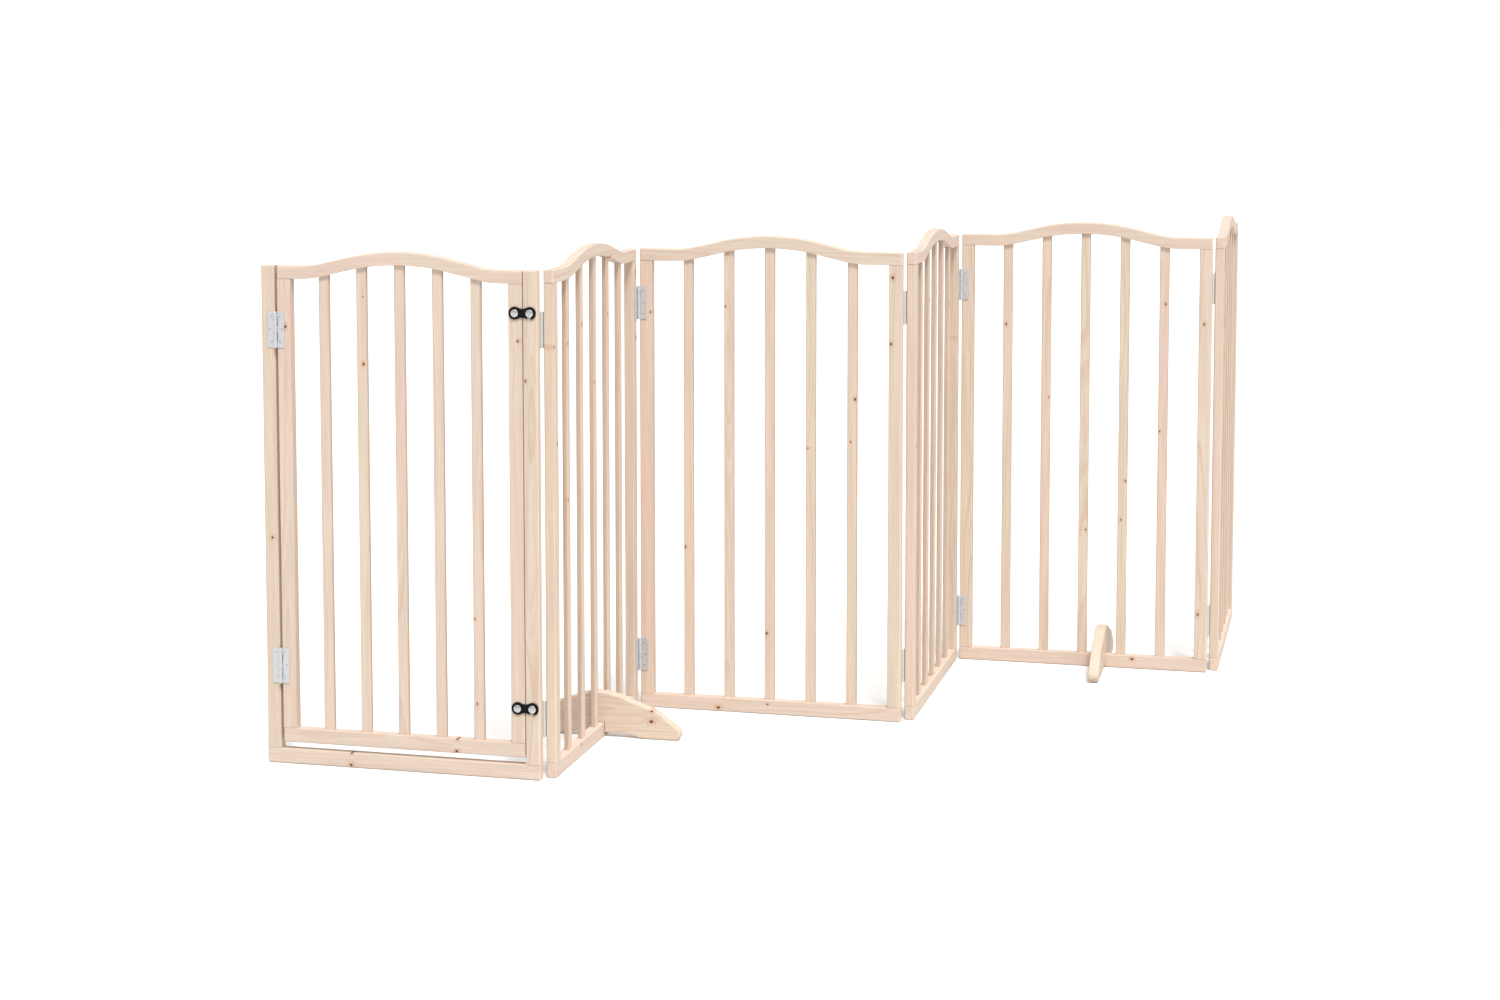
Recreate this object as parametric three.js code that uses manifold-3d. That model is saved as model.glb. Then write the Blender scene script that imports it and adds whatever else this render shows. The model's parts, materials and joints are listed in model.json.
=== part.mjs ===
// A free-standing folding pet gate of raw softwood: six panels in a zigzag, joined by surface butt
// hinges that sit on the inner side of each fold. The first panel is a frame with a small door in it,
// held shut by two hook latches. Two slotted feet straddle the bottom rails of panels 2 and 5.
// Millimetres, +Z up. +X runs along the row of panels, the front looks to -Y, and the origin is on the
// floor under the middle of the whole gate.

import * as THREE from 'three';
import { mergeVertices } from 'three/addons/utils/BufferGeometryUtils.js';
import Module from 'manifold-3d';

const wasm = await Module();
wasm.setup();

// ---- Driving dimensions -------------------------------------------------------------------------

// The row of panels.
const panelCount = 6;
const panelWidth = 500;
const panelGap = 0.6;
const foldAngle = 90;
const cornerHeight = 873;

// Timber sections.
const timberThickness = 18;
const stileWidth = 25;
const topRailHeight = 23;
const bottomRailHeight = 26;
const barCount = 5;
const barWidth = 19;
const barThickness = 9;

// The wave of each top rail: straight flanks from a low corner up to a round crown.
const waveHalf = 162;
const waveSlopeAngle = 13.2;
const crownHalf = 93;

// The door and its frame.
const postWidth = 25;
const sillHeight = 26;
const doorHingeGap = 4.5;
const doorLatchGap = 1.5;
const doorFloorGap = 12;
const doorBottomRailHeight = 25;

// Butt hinges.
const hingeLength = 62;
const hingeLeafWidth = 15;
const leafThickness = 1.2;
const knuckleCount = 5;
const knuckleRadius = 3.2;
const pinRadius = 1.5;
const pinHeadHeight = 0.8;
const panelHingeInset = 102;
const doorHingeTopInset = 111;
const doorHingeBottomInset = 136;

// Hook latches and their screws.
const latchTopInset = 72;
const latchBottomInset = 86;
const hookThickness = 2;
const hookRingRadius = 11;
const hookNeckHalf = 7.5;
const throatSweepAngle = 38;
const latchScrewRadius = 2.5;
const latchHeadRadius = 6.5;
const latchHeadHeight = 3;
const latchScrewDepth = 13;

// Slotted feet.
const footPanels = [2, 5];
const footLength = 304;
const footHeight = 82;
const footThickness = 20;
const footTopHalf = 6;
const footToeRadius = 12;
const footToeTurn = 57;
const footSoleLength = 50;
const footArchHeight = 8;
const footArchFlat = 36;
const footWaistPlace = 88;
const footWaistHeight = 58;
const footWaistFall = 13;
const footCurveReach = 25;

// Clearances.
const jointGap = 0.3;
const knuckleGap = 0.3;
const boreClearance = 0.25;
const notchClearance = 0.5;
const screwHoleClearance = 0.3;
const throatClearance = 0.75;
const footSlotClearance = 0.8;

// Facets on round pieces.
const roundFacets = 12;
const crownFacets = 10;
const hookArcFacets = 7;
const footArcFacets = 6;

// ---- Values worked out from them ----------------------------------------------------------------

const halfThickness = timberThickness / 2;
const pinOffset = halfThickness + jointGap + knuckleRadius;
const slope = THREE.MathUtils.degToRad(waveSlopeAngle);
const crownRadius = crownHalf / Math.sin(slope);
const flankRise = (waveHalf - crownHalf) * Math.tan(slope);
const waveRise = flankRise + crownRadius * (1 - Math.cos(slope));
const railUnderside = cornerHeight - topRailHeight;

// ---- Materials ----------------------------------------------------------------------------------

const wood = { color: 0xdfc9ae, roughness: 0.7, metalness: 0 };
const railWood = { color: 0xe6d2b9, roughness: 0.7, metalness: 0 };
const zinc = { color: 0xd4d6d8, roughness: 0.35, metalness: 0.9 };
const blackSteel = { color: 0x17171a, roughness: 0.4, metalness: 0.3 };
const brightSteel = { color: 0xc9cacc, roughness: 0.25, metalness: 1 };

// ---- Shape helpers ------------------------------------------------------------------------------

function solidOf(geometry) {
  const bare = geometry.clone();
  bare.deleteAttribute('normal');
  bare.deleteAttribute('uv');
  const merged = mergeVertices(bare, 1e-4);
  const mesh = new wasm.Mesh({
    numProp: 3,
    vertProperties: new Float32Array(merged.attributes.position.array),
    triVerts: new Uint32Array(merged.index.array),
  });
  return new wasm.Manifold(mesh);
}

function geometryOf(solid) {
  const mesh = solid.getMesh();
  const geometry = new THREE.BufferGeometry();
  geometry.setAttribute('position', new THREE.BufferAttribute(mesh.vertProperties, 3));
  geometry.setIndex(new THREE.BufferAttribute(mesh.triVerts, 1));
  geometry.computeVertexNormals();
  return geometry;
}

function meshOf(name, geometry, finish) {
  const mesh = new THREE.Mesh(geometry, new THREE.MeshStandardMaterial(finish));
  mesh.name = name;
  return mesh;
}

// A box between two corners.
function block(x0, x1, y0, y1, z0, z1) {
  const geometry = new THREE.BoxGeometry(x1 - x0, y1 - y0, z1 - z0);
  geometry.translate((x0 + x1) / 2, (y0 + y1) / 2, (z0 + z1) / 2);
  return geometry;
}

// A piece of timber lying in the panel, over its whole thickness.
function timber(left, right, bottom, top) {
  return block(left, right, -halfThickness, halfThickness, bottom, top);
}

// A front outline (x, z) made solid from y0 to y1.
function cutOut(shape, y0, y1, curveSegments) {
  const depth = y1 - y0;
  const geometry = new THREE.ExtrudeGeometry(shape, { depth, bevelEnabled: false, curveSegments });
  geometry.rotateX(Math.PI / 2);
  geometry.translate(0, y1, 0);
  return geometry;
}

// A round rod along z.
function rod(radius, z0, z1) {
  const geometry = new THREE.CylinderGeometry(radius, radius, z1 - z0, roundFacets);
  geometry.rotateX(Math.PI / 2);
  geometry.translate(0, 0, (z0 + z1) / 2);
  return geometry;
}

// ---- Wavy top rail and bars ---------------------------------------------------------------------

// Height of the wave above its corners at a distance u from its middle.
function waveAt(u) {
  const away = Math.abs(u);
  if (away >= waveHalf) {
    return 0;
  }
  if (away >= crownHalf) {
    return (waveHalf - away) * Math.tan(slope);
  }
  return waveRise - crownRadius + Math.sqrt(crownRadius ** 2 - away ** 2);
}

// The rail is one wavy line and the same line lowered by the rail's height.
function wavyRail(left, right) {
  const middle = (left + right) / 2;
  const arcMiddle = waveRise - crownRadius;
  const up = Math.PI / 2;
  const shape = new THREE.Shape();
  shape.moveTo(left, cornerHeight);
  shape.lineTo(left, railUnderside);
  shape.lineTo(middle - waveHalf, railUnderside);
  shape.absarc(middle, railUnderside + arcMiddle, crownRadius, up + slope, up - slope, true);
  shape.lineTo(middle + waveHalf, railUnderside);
  shape.lineTo(right, railUnderside);
  shape.lineTo(right, cornerHeight);
  shape.lineTo(middle + waveHalf, cornerHeight);
  shape.absarc(middle, cornerHeight + arcMiddle, crownRadius, up - slope, up + slope, false);
  shape.lineTo(middle - waveHalf, cornerHeight);
  return cutOut(shape, -halfThickness, halfThickness, crownFacets);
}

// A flat bar whose top follows the underside of the wavy rail.
function bar(at, middle, bottom) {
  const steps = 4;
  const shape = new THREE.Shape();
  shape.moveTo(at - barWidth / 2, bottom);
  shape.lineTo(at + barWidth / 2, bottom);
  for (let i = steps; i >= 0; i -= 1) {
    const x = at + barWidth * (i / steps - 0.5);
    shape.lineTo(x, railUnderside - jointGap + waveAt(x - middle));
  }
  return cutOut(shape, -barThickness / 2, barThickness / 2, 1);
}

// Middles of evenly spaced bars between two uprights.
function barPlaces(left, right) {
  const space = (right - left - barCount * barWidth) / (barCount + 1);
  return Array.from({ length: barCount }, (_, i) => left + space + barWidth / 2 + i * (space + barWidth));
}

// The bottom rail with its bars let into it.
function barsAndRail(left, right, bottom, height) {
  const middle = (left + right) / 2;
  let solid = solidOf(timber(left, right, bottom, bottom + height));
  for (const at of barPlaces(left + stileWidth, right - stileWidth)) {
    solid = solid.add(solidOf(bar(at, middle, bottom + height / 2)));
  }
  return geometryOf(solid);
}

// ---- Butt hinges --------------------------------------------------------------------------------

// One leaf round a pin on the z axis, lying towards +y of it. side is 1 for a leaf that reaches to
// +x and -1 for one that reaches to -x. The leaf with the odd knuckles carries the pin.
function hingeLeaf(side, carriesPin) {
  const pitch = hingeLength / knuckleCount;
  const inner = knuckleRadius + notchClearance;
  const back = knuckleRadius;
  const front = knuckleRadius - leafThickness;
  const reach = (x0, x1, z0, z1) => {
    const [low, high] = side > 0 ? [x0, x1] : [-x1, -x0];
    return solidOf(block(low, high, front, back, z0, z1));
  };
  let leaf = reach(inner, hingeLeafWidth, -hingeLength / 2, hingeLength / 2);
  for (let i = carriesPin ? 0 : 1; i < knuckleCount; i += 2) {
    const z0 = -hingeLength / 2 + i * pitch + (i > 0 ? knuckleGap / 2 : 0);
    const z1 = -hingeLength / 2 + (i + 1) * pitch - (i < knuckleCount - 1 ? knuckleGap / 2 : 0);
    leaf = leaf.add(solidOf(rod(knuckleRadius, z0, z1)));
    leaf = leaf.add(reach(0, inner + 1, z0, z1));
  }
  const pinEnd = hingeLength / 2 + pinHeadHeight;
  if (carriesPin) {
    return geometryOf(leaf.add(solidOf(rod(pinRadius, -pinEnd, pinEnd))));
  }
  return geometryOf(leaf.subtract(solidOf(rod(pinRadius + boreClearance, -pinEnd, pinEnd))));
}

// A leaf placed on a panel. front hinges lie on the front face; back ones are turned half round.
function placedLeaf(name, pinX, z, onBack, side, carriesPin) {
  const leaf = meshOf(name, hingeLeaf(onBack ? -side : side, carriesPin), zinc);
  leaf.position.set(pinX, onBack ? pinOffset : -pinOffset, z);
  leaf.rotation.z = onBack ? Math.PI : 0;
  return leaf;
}

// ---- Hook latches -------------------------------------------------------------------------------

const hookSpacing = stileWidth / 2 + doorLatchGap + postWidth / 2;
const hookBack = -halfThickness - jointGap;
const hookFront = hookBack - hookThickness;
const headBack = hookFront - jointGap;

// Two rings joined by a waisted neck: outer arcs round both screws, hollow arcs between them.
function hookOutline() {
  const half = hookSpacing / 2;
  const waist = hookRingRadius - hookNeckHalf;
  const neckRadius = (half ** 2 + hookNeckHalf ** 2 - hookRingRadius ** 2) / (2 * waist);
  const neckMiddle = hookNeckHalf + neckRadius;
  const lean = Math.atan2(neckMiddle, half);
  const shape = new THREE.Shape();
  shape.absarc(0, 0, hookRingRadius, -lean, lean, true);
  shape.absarc(half, neckMiddle, neckRadius, Math.PI + lean, 2 * Math.PI - lean, false);
  shape.absarc(hookSpacing, 0, hookRingRadius, Math.PI - lean, lean - Math.PI, true);
  shape.absarc(half, -neckMiddle, neckRadius, lean, Math.PI - lean, false);
  return shape;
}

// The open throat: a slot along the arc that the catch screw takes round the pivot.
function throatOutline() {
  const halfWidth = latchScrewRadius + throatClearance;
  const sweep = THREE.MathUtils.degToRad(throatSweepAngle);
  const shape = new THREE.Shape();
  shape.absarc(0, 0, hookSpacing + halfWidth, -sweep, 0, false);
  shape.absarc(hookSpacing, 0, halfWidth, 0, Math.PI, false);
  shape.absarc(0, 0, hookSpacing - halfWidth, 0, -sweep, true);
  return shape;
}

function latchHook() {
  const plate = solidOf(cutOut(hookOutline(), hookFront, hookBack, hookArcFacets));
  const throat = solidOf(cutOut(throatOutline(), hookFront - 1, hookBack + 1, hookArcFacets));
  const hole = new THREE.Shape();
  hole.absarc(0, 0, latchScrewRadius + screwHoleClearance, 0, 2 * Math.PI, false);
  const pivot = solidOf(cutOut(hole, hookFront - 1, hookBack + 1, roundFacets));
  return geometryOf(plate.subtract(throat).subtract(pivot));
}

// A domed screw along y, turned from its profile: head in front, shank running back into the wood.
function latchScrew() {
  const shankEnd = latchScrewDepth - halfThickness;
  const dome = 3;
  const profile = [new THREE.Vector2(0, shankEnd)];
  profile.push(new THREE.Vector2(latchScrewRadius, shankEnd));
  profile.push(new THREE.Vector2(latchScrewRadius, headBack));
  profile.push(new THREE.Vector2(latchHeadRadius, headBack));
  for (let i = 0; i < dome; i += 1) {
    const turn = (i / dome) * (Math.PI / 2);
    const height = latchHeadHeight * (0.4 + 0.6 * Math.sin(turn));
    profile.push(new THREE.Vector2(latchHeadRadius * Math.cos(turn), headBack - height));
  }
  profile.push(new THREE.Vector2(0, headBack - latchHeadHeight));
  return new THREE.LatheGeometry(profile.reverse(), roundFacets);
}

// An upright with blind pilot holes in its front face for the latch screws.
function drilledUpright(left, right, bottom, top, heights) {
  let solid = solidOf(timber(left, right, bottom, top));
  const depth = latchScrewDepth + screwHoleClearance - halfThickness;
  for (const z of heights) {
    const hole = rod(latchScrewRadius + screwHoleClearance, -depth, halfThickness + 1);
    hole.rotateX(Math.PI / 2);
    hole.translate((left + right) / 2, 0, z);
    solid = solid.subtract(solidOf(hole));
  }
  return geometryOf(solid);
}

// ---- Slotted feet -------------------------------------------------------------------------------

// Half of the foot's outline, then its mirror: a slot over the rail, a low arch, a flat sole, a round
// toe, and a wavy shoulder that falls from the flat top through a waist to the toe.
function footOutline() {
  const end = footLength / 2;
  const slotHalf = halfThickness + footSlotClearance;
  const slotTop = bottomRailHeight + footSlotClearance;
  const toeX = end - footToeRadius;
  const soleX = toeX - footSoleLength;
  const toeTurn = THREE.MathUtils.degToRad(footToeTurn);
  const fall = THREE.MathUtils.degToRad(footWaistFall);
  const alongToe = new THREE.Vector2(-Math.sin(toeTurn), Math.cos(toeTurn)).multiplyScalar(footCurveReach);
  const alongWaist = new THREE.Vector2(Math.cos(fall), -Math.sin(fall)).multiplyScalar(footCurveReach);
  const toe = new THREE.Vector2(Math.cos(toeTurn), 1 + Math.sin(toeTurn)).multiplyScalar(footToeRadius);
  toe.x += toeX;
  const waist = new THREE.Vector2(footWaistPlace, footWaistHeight);
  const afterToe = toe.clone().add(alongToe);
  const beforeWaist = waist.clone().add(alongWaist);
  const afterWaist = waist.clone().sub(alongWaist);
  const beforeTop = new THREE.Vector2(footTopHalf + footCurveReach, footHeight);
  const half = new THREE.Path();
  half.moveTo(slotHalf, slotTop);
  half.lineTo(slotHalf, footArchHeight);
  half.lineTo(footArchFlat, footArchHeight);
  half.bezierCurveTo(footArchFlat + footCurveReach, footArchHeight, soleX - footCurveReach, 0, soleX, 0);
  half.lineTo(toeX, 0);
  half.absarc(toeX, footToeRadius, footToeRadius, -Math.PI / 2, toeTurn, false);
  half.bezierCurveTo(afterToe.x, afterToe.y, beforeWaist.x, beforeWaist.y, waist.x, waist.y);
  half.bezierCurveTo(afterWaist.x, afterWaist.y, beforeTop.x, beforeTop.y, footTopHalf, footHeight);
  const right = half.getPoints(footArcFacets);
  const left = right.map((p) => new THREE.Vector2(-p.x, p.y)).reverse();
  return new THREE.Shape([...right, ...left]);
}

function foot() {
  const geometry = cutOut(footOutline(), -footThickness / 2, footThickness / 2, 1);
  geometry.rotateZ(Math.PI / 2);
  return geometry;
}

// ---- Assembly -----------------------------------------------------------------------------------

// The first panel: two posts on a sill, with the door between them.
function doorPanel() {
  const panel = new THREE.Group();
  const doorLeft = postWidth + doorHingeGap;
  const doorRight = panelWidth - postWidth - doorLatchGap;
  const doorBottom = sillHeight + doorFloorGap;
  const stileBottom = doorBottom + doorBottomRailHeight + jointGap;
  const stileTop = railUnderside - jointGap;
  const pivotX = doorRight - stileWidth / 2;
  const catchX = panelWidth - postWidth / 2;
  const latches = { upper: cornerHeight - latchTopInset, lower: doorBottom + latchBottomInset };
  const hinges = { upper: cornerHeight - doorHingeTopInset, lower: doorBottom + doorHingeBottomInset };
  const latchHeights = Object.values(latches);
  const postBottom = sillHeight + jointGap;
  const postLeft = panelWidth - postWidth;
  const catchPost = drilledUpright(postLeft, panelWidth, postBottom, cornerHeight, latchHeights);
  const hingeStile = timber(doorLeft, doorLeft + stileWidth, stileBottom, stileTop);
  const latchStile = drilledUpright(doorRight - stileWidth, doorRight, stileBottom, stileTop, latchHeights);
  panel.add(meshOf('door_sill', timber(0, panelWidth, 0, sillHeight), railWood));
  panel.add(meshOf('door_post_left', timber(0, postWidth, postBottom, cornerHeight), wood));
  panel.add(meshOf('door_post_right', catchPost, wood));
  panel.add(meshOf('door_stile_left', hingeStile, wood));
  panel.add(meshOf('door_stile_right', latchStile, wood));
  panel.add(meshOf('door_top_rail', wavyRail(doorLeft, doorRight), railWood));
  const bars = barsAndRail(doorLeft, doorRight, doorBottom, doorBottomRailHeight);
  panel.add(meshOf('door_bars_and_bottom_rail', bars, railWood));
  const pinX = postWidth + doorHingeGap / 2;
  for (const [level, z] of Object.entries(hinges)) {
    panel.add(placedLeaf(`door_hinge_${level}_post_leaf`, pinX, z, false, -1, false));
    panel.add(placedLeaf(`door_hinge_${level}_door_leaf`, pinX, z, false, 1, true));
  }
  for (const [level, z] of Object.entries(latches)) {
    const pieces = [['hook', latchHook(), pivotX, blackSteel]];
    pieces.push(['pivot_screw', latchScrew(), pivotX, brightSteel]);
    pieces.push(['catch_screw', latchScrew(), catchX, brightSteel]);
    for (const [piece, geometry, x, finish] of pieces) {
      const mesh = meshOf(`latch_${level}_${piece}`, geometry, finish);
      mesh.position.set(x, 0, z);
      panel.add(mesh);
    }
  }
  return panel;
}

// A plain panel: top and bottom rails run full width, the stiles stand between them.
function barPanel(number) {
  const panel = new THREE.Group();
  const bottom = bottomRailHeight + jointGap;
  const top = railUnderside - jointGap;
  const name = (piece) => `panel_${number}_${piece}`;
  const innerRight = panelWidth - stileWidth;
  panel.add(meshOf(name('stile_left'), timber(0, stileWidth, bottom, top), wood));
  panel.add(meshOf(name('stile_right'), timber(innerRight, panelWidth, bottom, top), wood));
  panel.add(meshOf(name('top_rail'), wavyRail(0, panelWidth), railWood));
  const bars = barsAndRail(0, panelWidth, 0, bottomRailHeight);
  panel.add(meshOf(name('bars_and_bottom_rail'), bars, railWood));
  if (footPanels.includes(number)) {
    const places = barPlaces(stileWidth, panelWidth - stileWidth);
    const support = meshOf(`foot_on_panel_${number}`, foot(), railWood);
    support.position.x = (places[2] + places[3]) / 2;
    panel.add(support);
  }
  return panel;
}

// Two neighbours turn about a pin beside their gap, behind the odd folds and in front of the even.
// The next panel is moved so that its half of the hinge lies on the same pin.
function addFoldHinge(number, before, after) {
  const onBack = number % 2 === 1;
  const fold = `fold_hinge_${number}_${number + 1}`;
  const heights = { upper: cornerHeight - panelHingeInset, lower: panelHingeInset };
  const leftX = panelWidth + panelGap / 2;
  const rightX = -panelGap / 2;
  for (const [level, z] of Object.entries(heights)) {
    before.add(placedLeaf(`${fold}_${level}_left_leaf`, leftX, z, onBack, -1, onBack));
    after.add(placedLeaf(`${fold}_${level}_right_leaf`, rightX, z, onBack, 1, !onBack));
  }
  const pinY = onBack ? pinOffset : -pinOffset;
  const pin = new THREE.Vector3(leftX, pinY, 0).applyEuler(before.rotation).add(before.position);
  const pinFromRight = new THREE.Vector3(rightX, pinY, 0).applyEuler(after.rotation);
  after.position.copy(pin).sub(pinFromRight);
}

const gate = new THREE.Group();
const lean = THREE.MathUtils.degToRad(90 - foldAngle / 2);
let previous = null;
for (let number = 1; number <= panelCount; number += 1) {
  const panel = number === 1 ? doorPanel() : barPanel(number);
  panel.rotation.z = number % 2 === 1 ? -lean : lean;
  if (previous) {
    addFoldHinge(number - 1, previous, panel);
  }
  gate.add(panel);
  previous = panel;
}

const bounds = new THREE.Box3().setFromObject(gate, true);
const centre = bounds.getCenter(new THREE.Vector3());
gate.position.set(-centre.x, -centre.y, 0);

export default gate;
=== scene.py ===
"""Looks for a free-standing folding pet gate of raw softwood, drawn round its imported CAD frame.

Six panels of flat bars stand in a zigzag on butt hinges. The first holds a small door with two black
hook latches, and two slotted feet straddle the bottom rails of panels 2 and 5. Lengths are in
millimetres until make_piece turns them into metres. In a panel's own frame x runs along the panel
from its left end, y from front to back and z up from the floor.
"""

import json
import math

import bpy
import numpy as np
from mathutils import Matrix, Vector
from mathutils.geometry import delaunay_2d_cdt

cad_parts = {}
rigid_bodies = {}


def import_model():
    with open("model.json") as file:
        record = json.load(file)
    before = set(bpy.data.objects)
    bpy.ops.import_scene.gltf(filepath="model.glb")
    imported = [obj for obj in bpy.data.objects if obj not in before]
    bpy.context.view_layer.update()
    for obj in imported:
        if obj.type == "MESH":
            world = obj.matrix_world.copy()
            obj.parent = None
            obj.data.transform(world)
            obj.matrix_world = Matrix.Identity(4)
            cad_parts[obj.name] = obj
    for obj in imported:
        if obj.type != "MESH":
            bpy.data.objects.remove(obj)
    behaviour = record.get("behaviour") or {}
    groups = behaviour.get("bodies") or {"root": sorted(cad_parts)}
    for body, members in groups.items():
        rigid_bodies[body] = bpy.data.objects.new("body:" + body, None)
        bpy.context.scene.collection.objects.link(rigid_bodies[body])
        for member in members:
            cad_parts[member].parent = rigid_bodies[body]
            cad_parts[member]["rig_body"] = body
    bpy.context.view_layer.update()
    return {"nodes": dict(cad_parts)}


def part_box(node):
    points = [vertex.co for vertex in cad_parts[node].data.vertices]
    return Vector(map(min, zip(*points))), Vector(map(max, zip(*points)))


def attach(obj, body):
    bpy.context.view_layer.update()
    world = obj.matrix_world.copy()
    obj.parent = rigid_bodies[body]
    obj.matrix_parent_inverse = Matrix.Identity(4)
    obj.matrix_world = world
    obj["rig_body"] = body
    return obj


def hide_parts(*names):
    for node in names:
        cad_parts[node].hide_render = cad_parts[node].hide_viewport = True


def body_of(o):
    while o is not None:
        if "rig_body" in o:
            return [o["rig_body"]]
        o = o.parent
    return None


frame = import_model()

MM = 0.001
rng = np.random.default_rng(17)

# ---- Sizes of the gate --------------------------------------------------------------------------

PANEL_COUNT = 6
PANEL_WIDTH = 500.0
PANEL_GAP = 0.6
CORNER_HEIGHT = 873.0
TIMBER = 18.0
STILE_WIDTH = 25.0
TOP_RAIL_HEIGHT = 23.0
BOTTOM_RAIL_HEIGHT = 26.0
BAR_COUNT = 5
BAR_WIDTH = 19.0
BAR_THICKNESS = 9.0
BAR_TENON = 5.0
JOINT_GAP = 0.3

WAVE_HALF = 162.0
WAVE_SLOPE = math.radians(13.2)
CROWN_HALF = 93.0
WAVE_KNEE = 20.0

POST_WIDTH = 25.0
DOOR_HINGE_GAP = 4.5
DOOR_LATCH_GAP = 1.5
DOOR_FLOOR_GAP = 12.0
DOOR_BOTTOM_RAIL_HEIGHT = 25.0

FOOT_PANELS = (2, 5)
FOOT_LENGTH = 304.0
FOOT_HEIGHT = 82.0
FOOT_THICKNESS = 20.0
FOOT_TOP_HALF = 6.0
FOOT_TOE_RADIUS = 12.0
FOOT_TOE_TURN = math.radians(57.0)
FOOT_SOLE_LENGTH = 50.0
FOOT_ARCH_HEIGHT = 8.0
FOOT_ARCH_FLAT = 36.0
FOOT_WAIST = (88.0, 58.0)
FOOT_WAIST_FALL = math.radians(13.0)
FOOT_CURVE_REACH = 25.0
FOOT_SLOT_CLEARANCE = 0.8
FOOT_SLOT_STEP = 2.0

HINGE_LENGTH = 62.0
HINGE_LEAF_WIDTH = 15.0
LEAF_THICKNESS = 1.2
KNUCKLE_COUNT = 5
KNUCKLE_RADIUS = 3.2
KNUCKLE_GAP = 0.3
NOTCH_CLEARANCE = 0.5
PIN_RADIUS = 1.5
PIN_HEAD_HEIGHT = 0.8

HOOK_THICKNESS = 2.0
HOOK_RING_RADIUS = 11.0
HOOK_NECK_HALF = 7.5
THROAT_CLEARANCE = 0.75
LATCH_SCREW_RADIUS = 2.5
LATCH_HEAD_RADIUS = 6.5
LATCH_HEAD_HEIGHT = 3.0
LATCH_SCREW_DEPTH = 13.0
SCREW_HOLE_CLEARANCE = 0.3

# Rounding of timber edges, by where they lie, from the roundest to the crispest.
FOOT_EDGE = 2.8
OPEN_EDGE = 2.6
BAR_EDGE = 2.2
STILE_INNER_EDGE = 1.8
DOOR_INNER_EDGE = 1.6
SILL_TOP_EDGE = 1.4
HINGE_SIDE_EDGE = 1.2
RAIL_TOP_EDGE = 1.2
RAIL_UNDER_EDGE = 1.0
LATCH_SIDE_EDGE = 0.8
FOOT_SLOT_EDGE = 0.8
JOINT_EDGE = 0.35
TENON_EDGE = 0.2

# Corner radii of the boards' outlines, and the spacing of points along a wavy rail.
UPRIGHT_CORNER = 0.5
RAIL_CORNER = 1.5
WAVE_SPACING = 5.0

# How far before and after a rounding a point is kept, so that the faces beside it stay flat, and the
# least corner radius of an outline that is drawn in.
FLAT_HOLD = 0.35
STEEL_HOLD = 0.06
LEAST_RADIUS = 0.02
TINY = 1e-6

HALF_TIMBER = TIMBER / 2
PIN_OFFSET = HALF_TIMBER + JOINT_GAP + KNUCKLE_RADIUS
RAIL_UNDERSIDE = CORNER_HEIGHT - TOP_RAIL_HEIGHT
CROWN_RADIUS = CROWN_HALF / math.sin(WAVE_SLOPE)
WAVE_RISE = (WAVE_HALF - CROWN_HALF) * math.tan(WAVE_SLOPE) + CROWN_RADIUS * (1 - math.cos(WAVE_SLOPE))
HOOK_SPACING = STILE_WIDTH / 2 + DOOR_LATCH_GAP + POST_WIDTH / 2
HOOK_BACK = -HALF_TIMBER - JOINT_GAP
HOOK_FRONT = HOOK_BACK - HOOK_THICKNESS
HEAD_BACK = HOOK_FRONT - JOINT_GAP

# Roundings (bottom, right, top, left) of boards.
BOTTOM_RAIL_EDGES = (OPEN_EDGE, OPEN_EDGE, RAIL_TOP_EDGE, OPEN_EDGE)
TOP_RAIL_EDGES = (RAIL_UNDER_EDGE, OPEN_EDGE, OPEN_EDGE, OPEN_EDGE)
BAR_EDGES = (TENON_EDGE, BAR_EDGE, JOINT_EDGE, BAR_EDGE)


# ---- Shader groups and finishes -----------------------------------------------------------------

NUMBER = "NodeSocketFloat"
VECTOR = "NodeSocketVector"
COLOUR = "NodeSocketColor"

# Growth rings in metres: their width, how far slow noise bends them and how far a knot pushes them
# out. A knot is drawn out along the grain by KNOT_STRETCH.
RING_WIDTH = 0.0031
RING_BEND = 0.034
KNOT_SWELLING = 0.006
KNOT_STRETCH = 1.35


def add_node(tree, kind, inputs=None, **settings):
    """Adds a node, sets its properties, and fills inputs with values or with links from sockets."""
    node = tree.nodes.new(kind)
    for key, value in settings.items():
        setattr(node, key, value)
    for key, value in (inputs or {}).items():
        if isinstance(value, bpy.types.NodeSocket):
            tree.links.new(value, node.inputs[key])
        else:
            node.inputs[key].default_value = value
    return node


def calc(tree, operation, first, second=0.0, third=0.0):
    """One arithmetic step on numbers or sockets."""
    inputs = {0: first, 1: second, 2: third}
    return add_node(tree, "ShaderNodeMath", inputs, operation=operation).outputs[0]


def ramp_between(tree, value, low, high, out_low=0.0, out_high=1.0):
    """A smooth step from out_low to out_high as value goes from low to high."""
    inputs = {"Value": value, "From Min": low, "From Max": high, "To Min": out_low, "To Max": out_high}
    node = add_node(tree, "ShaderNodeMapRange", inputs, interpolation_type="SMOOTHSTEP")
    return node.outputs["Result"]


def mixed(tree, factor, first, second, blend="MIX"):
    """A mix of two colours."""
    inputs = {0: factor, 6: first, 7: second}
    return add_node(tree, "ShaderNodeMix", inputs, data_type="RGBA", blend_type=blend).outputs[2]


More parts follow.
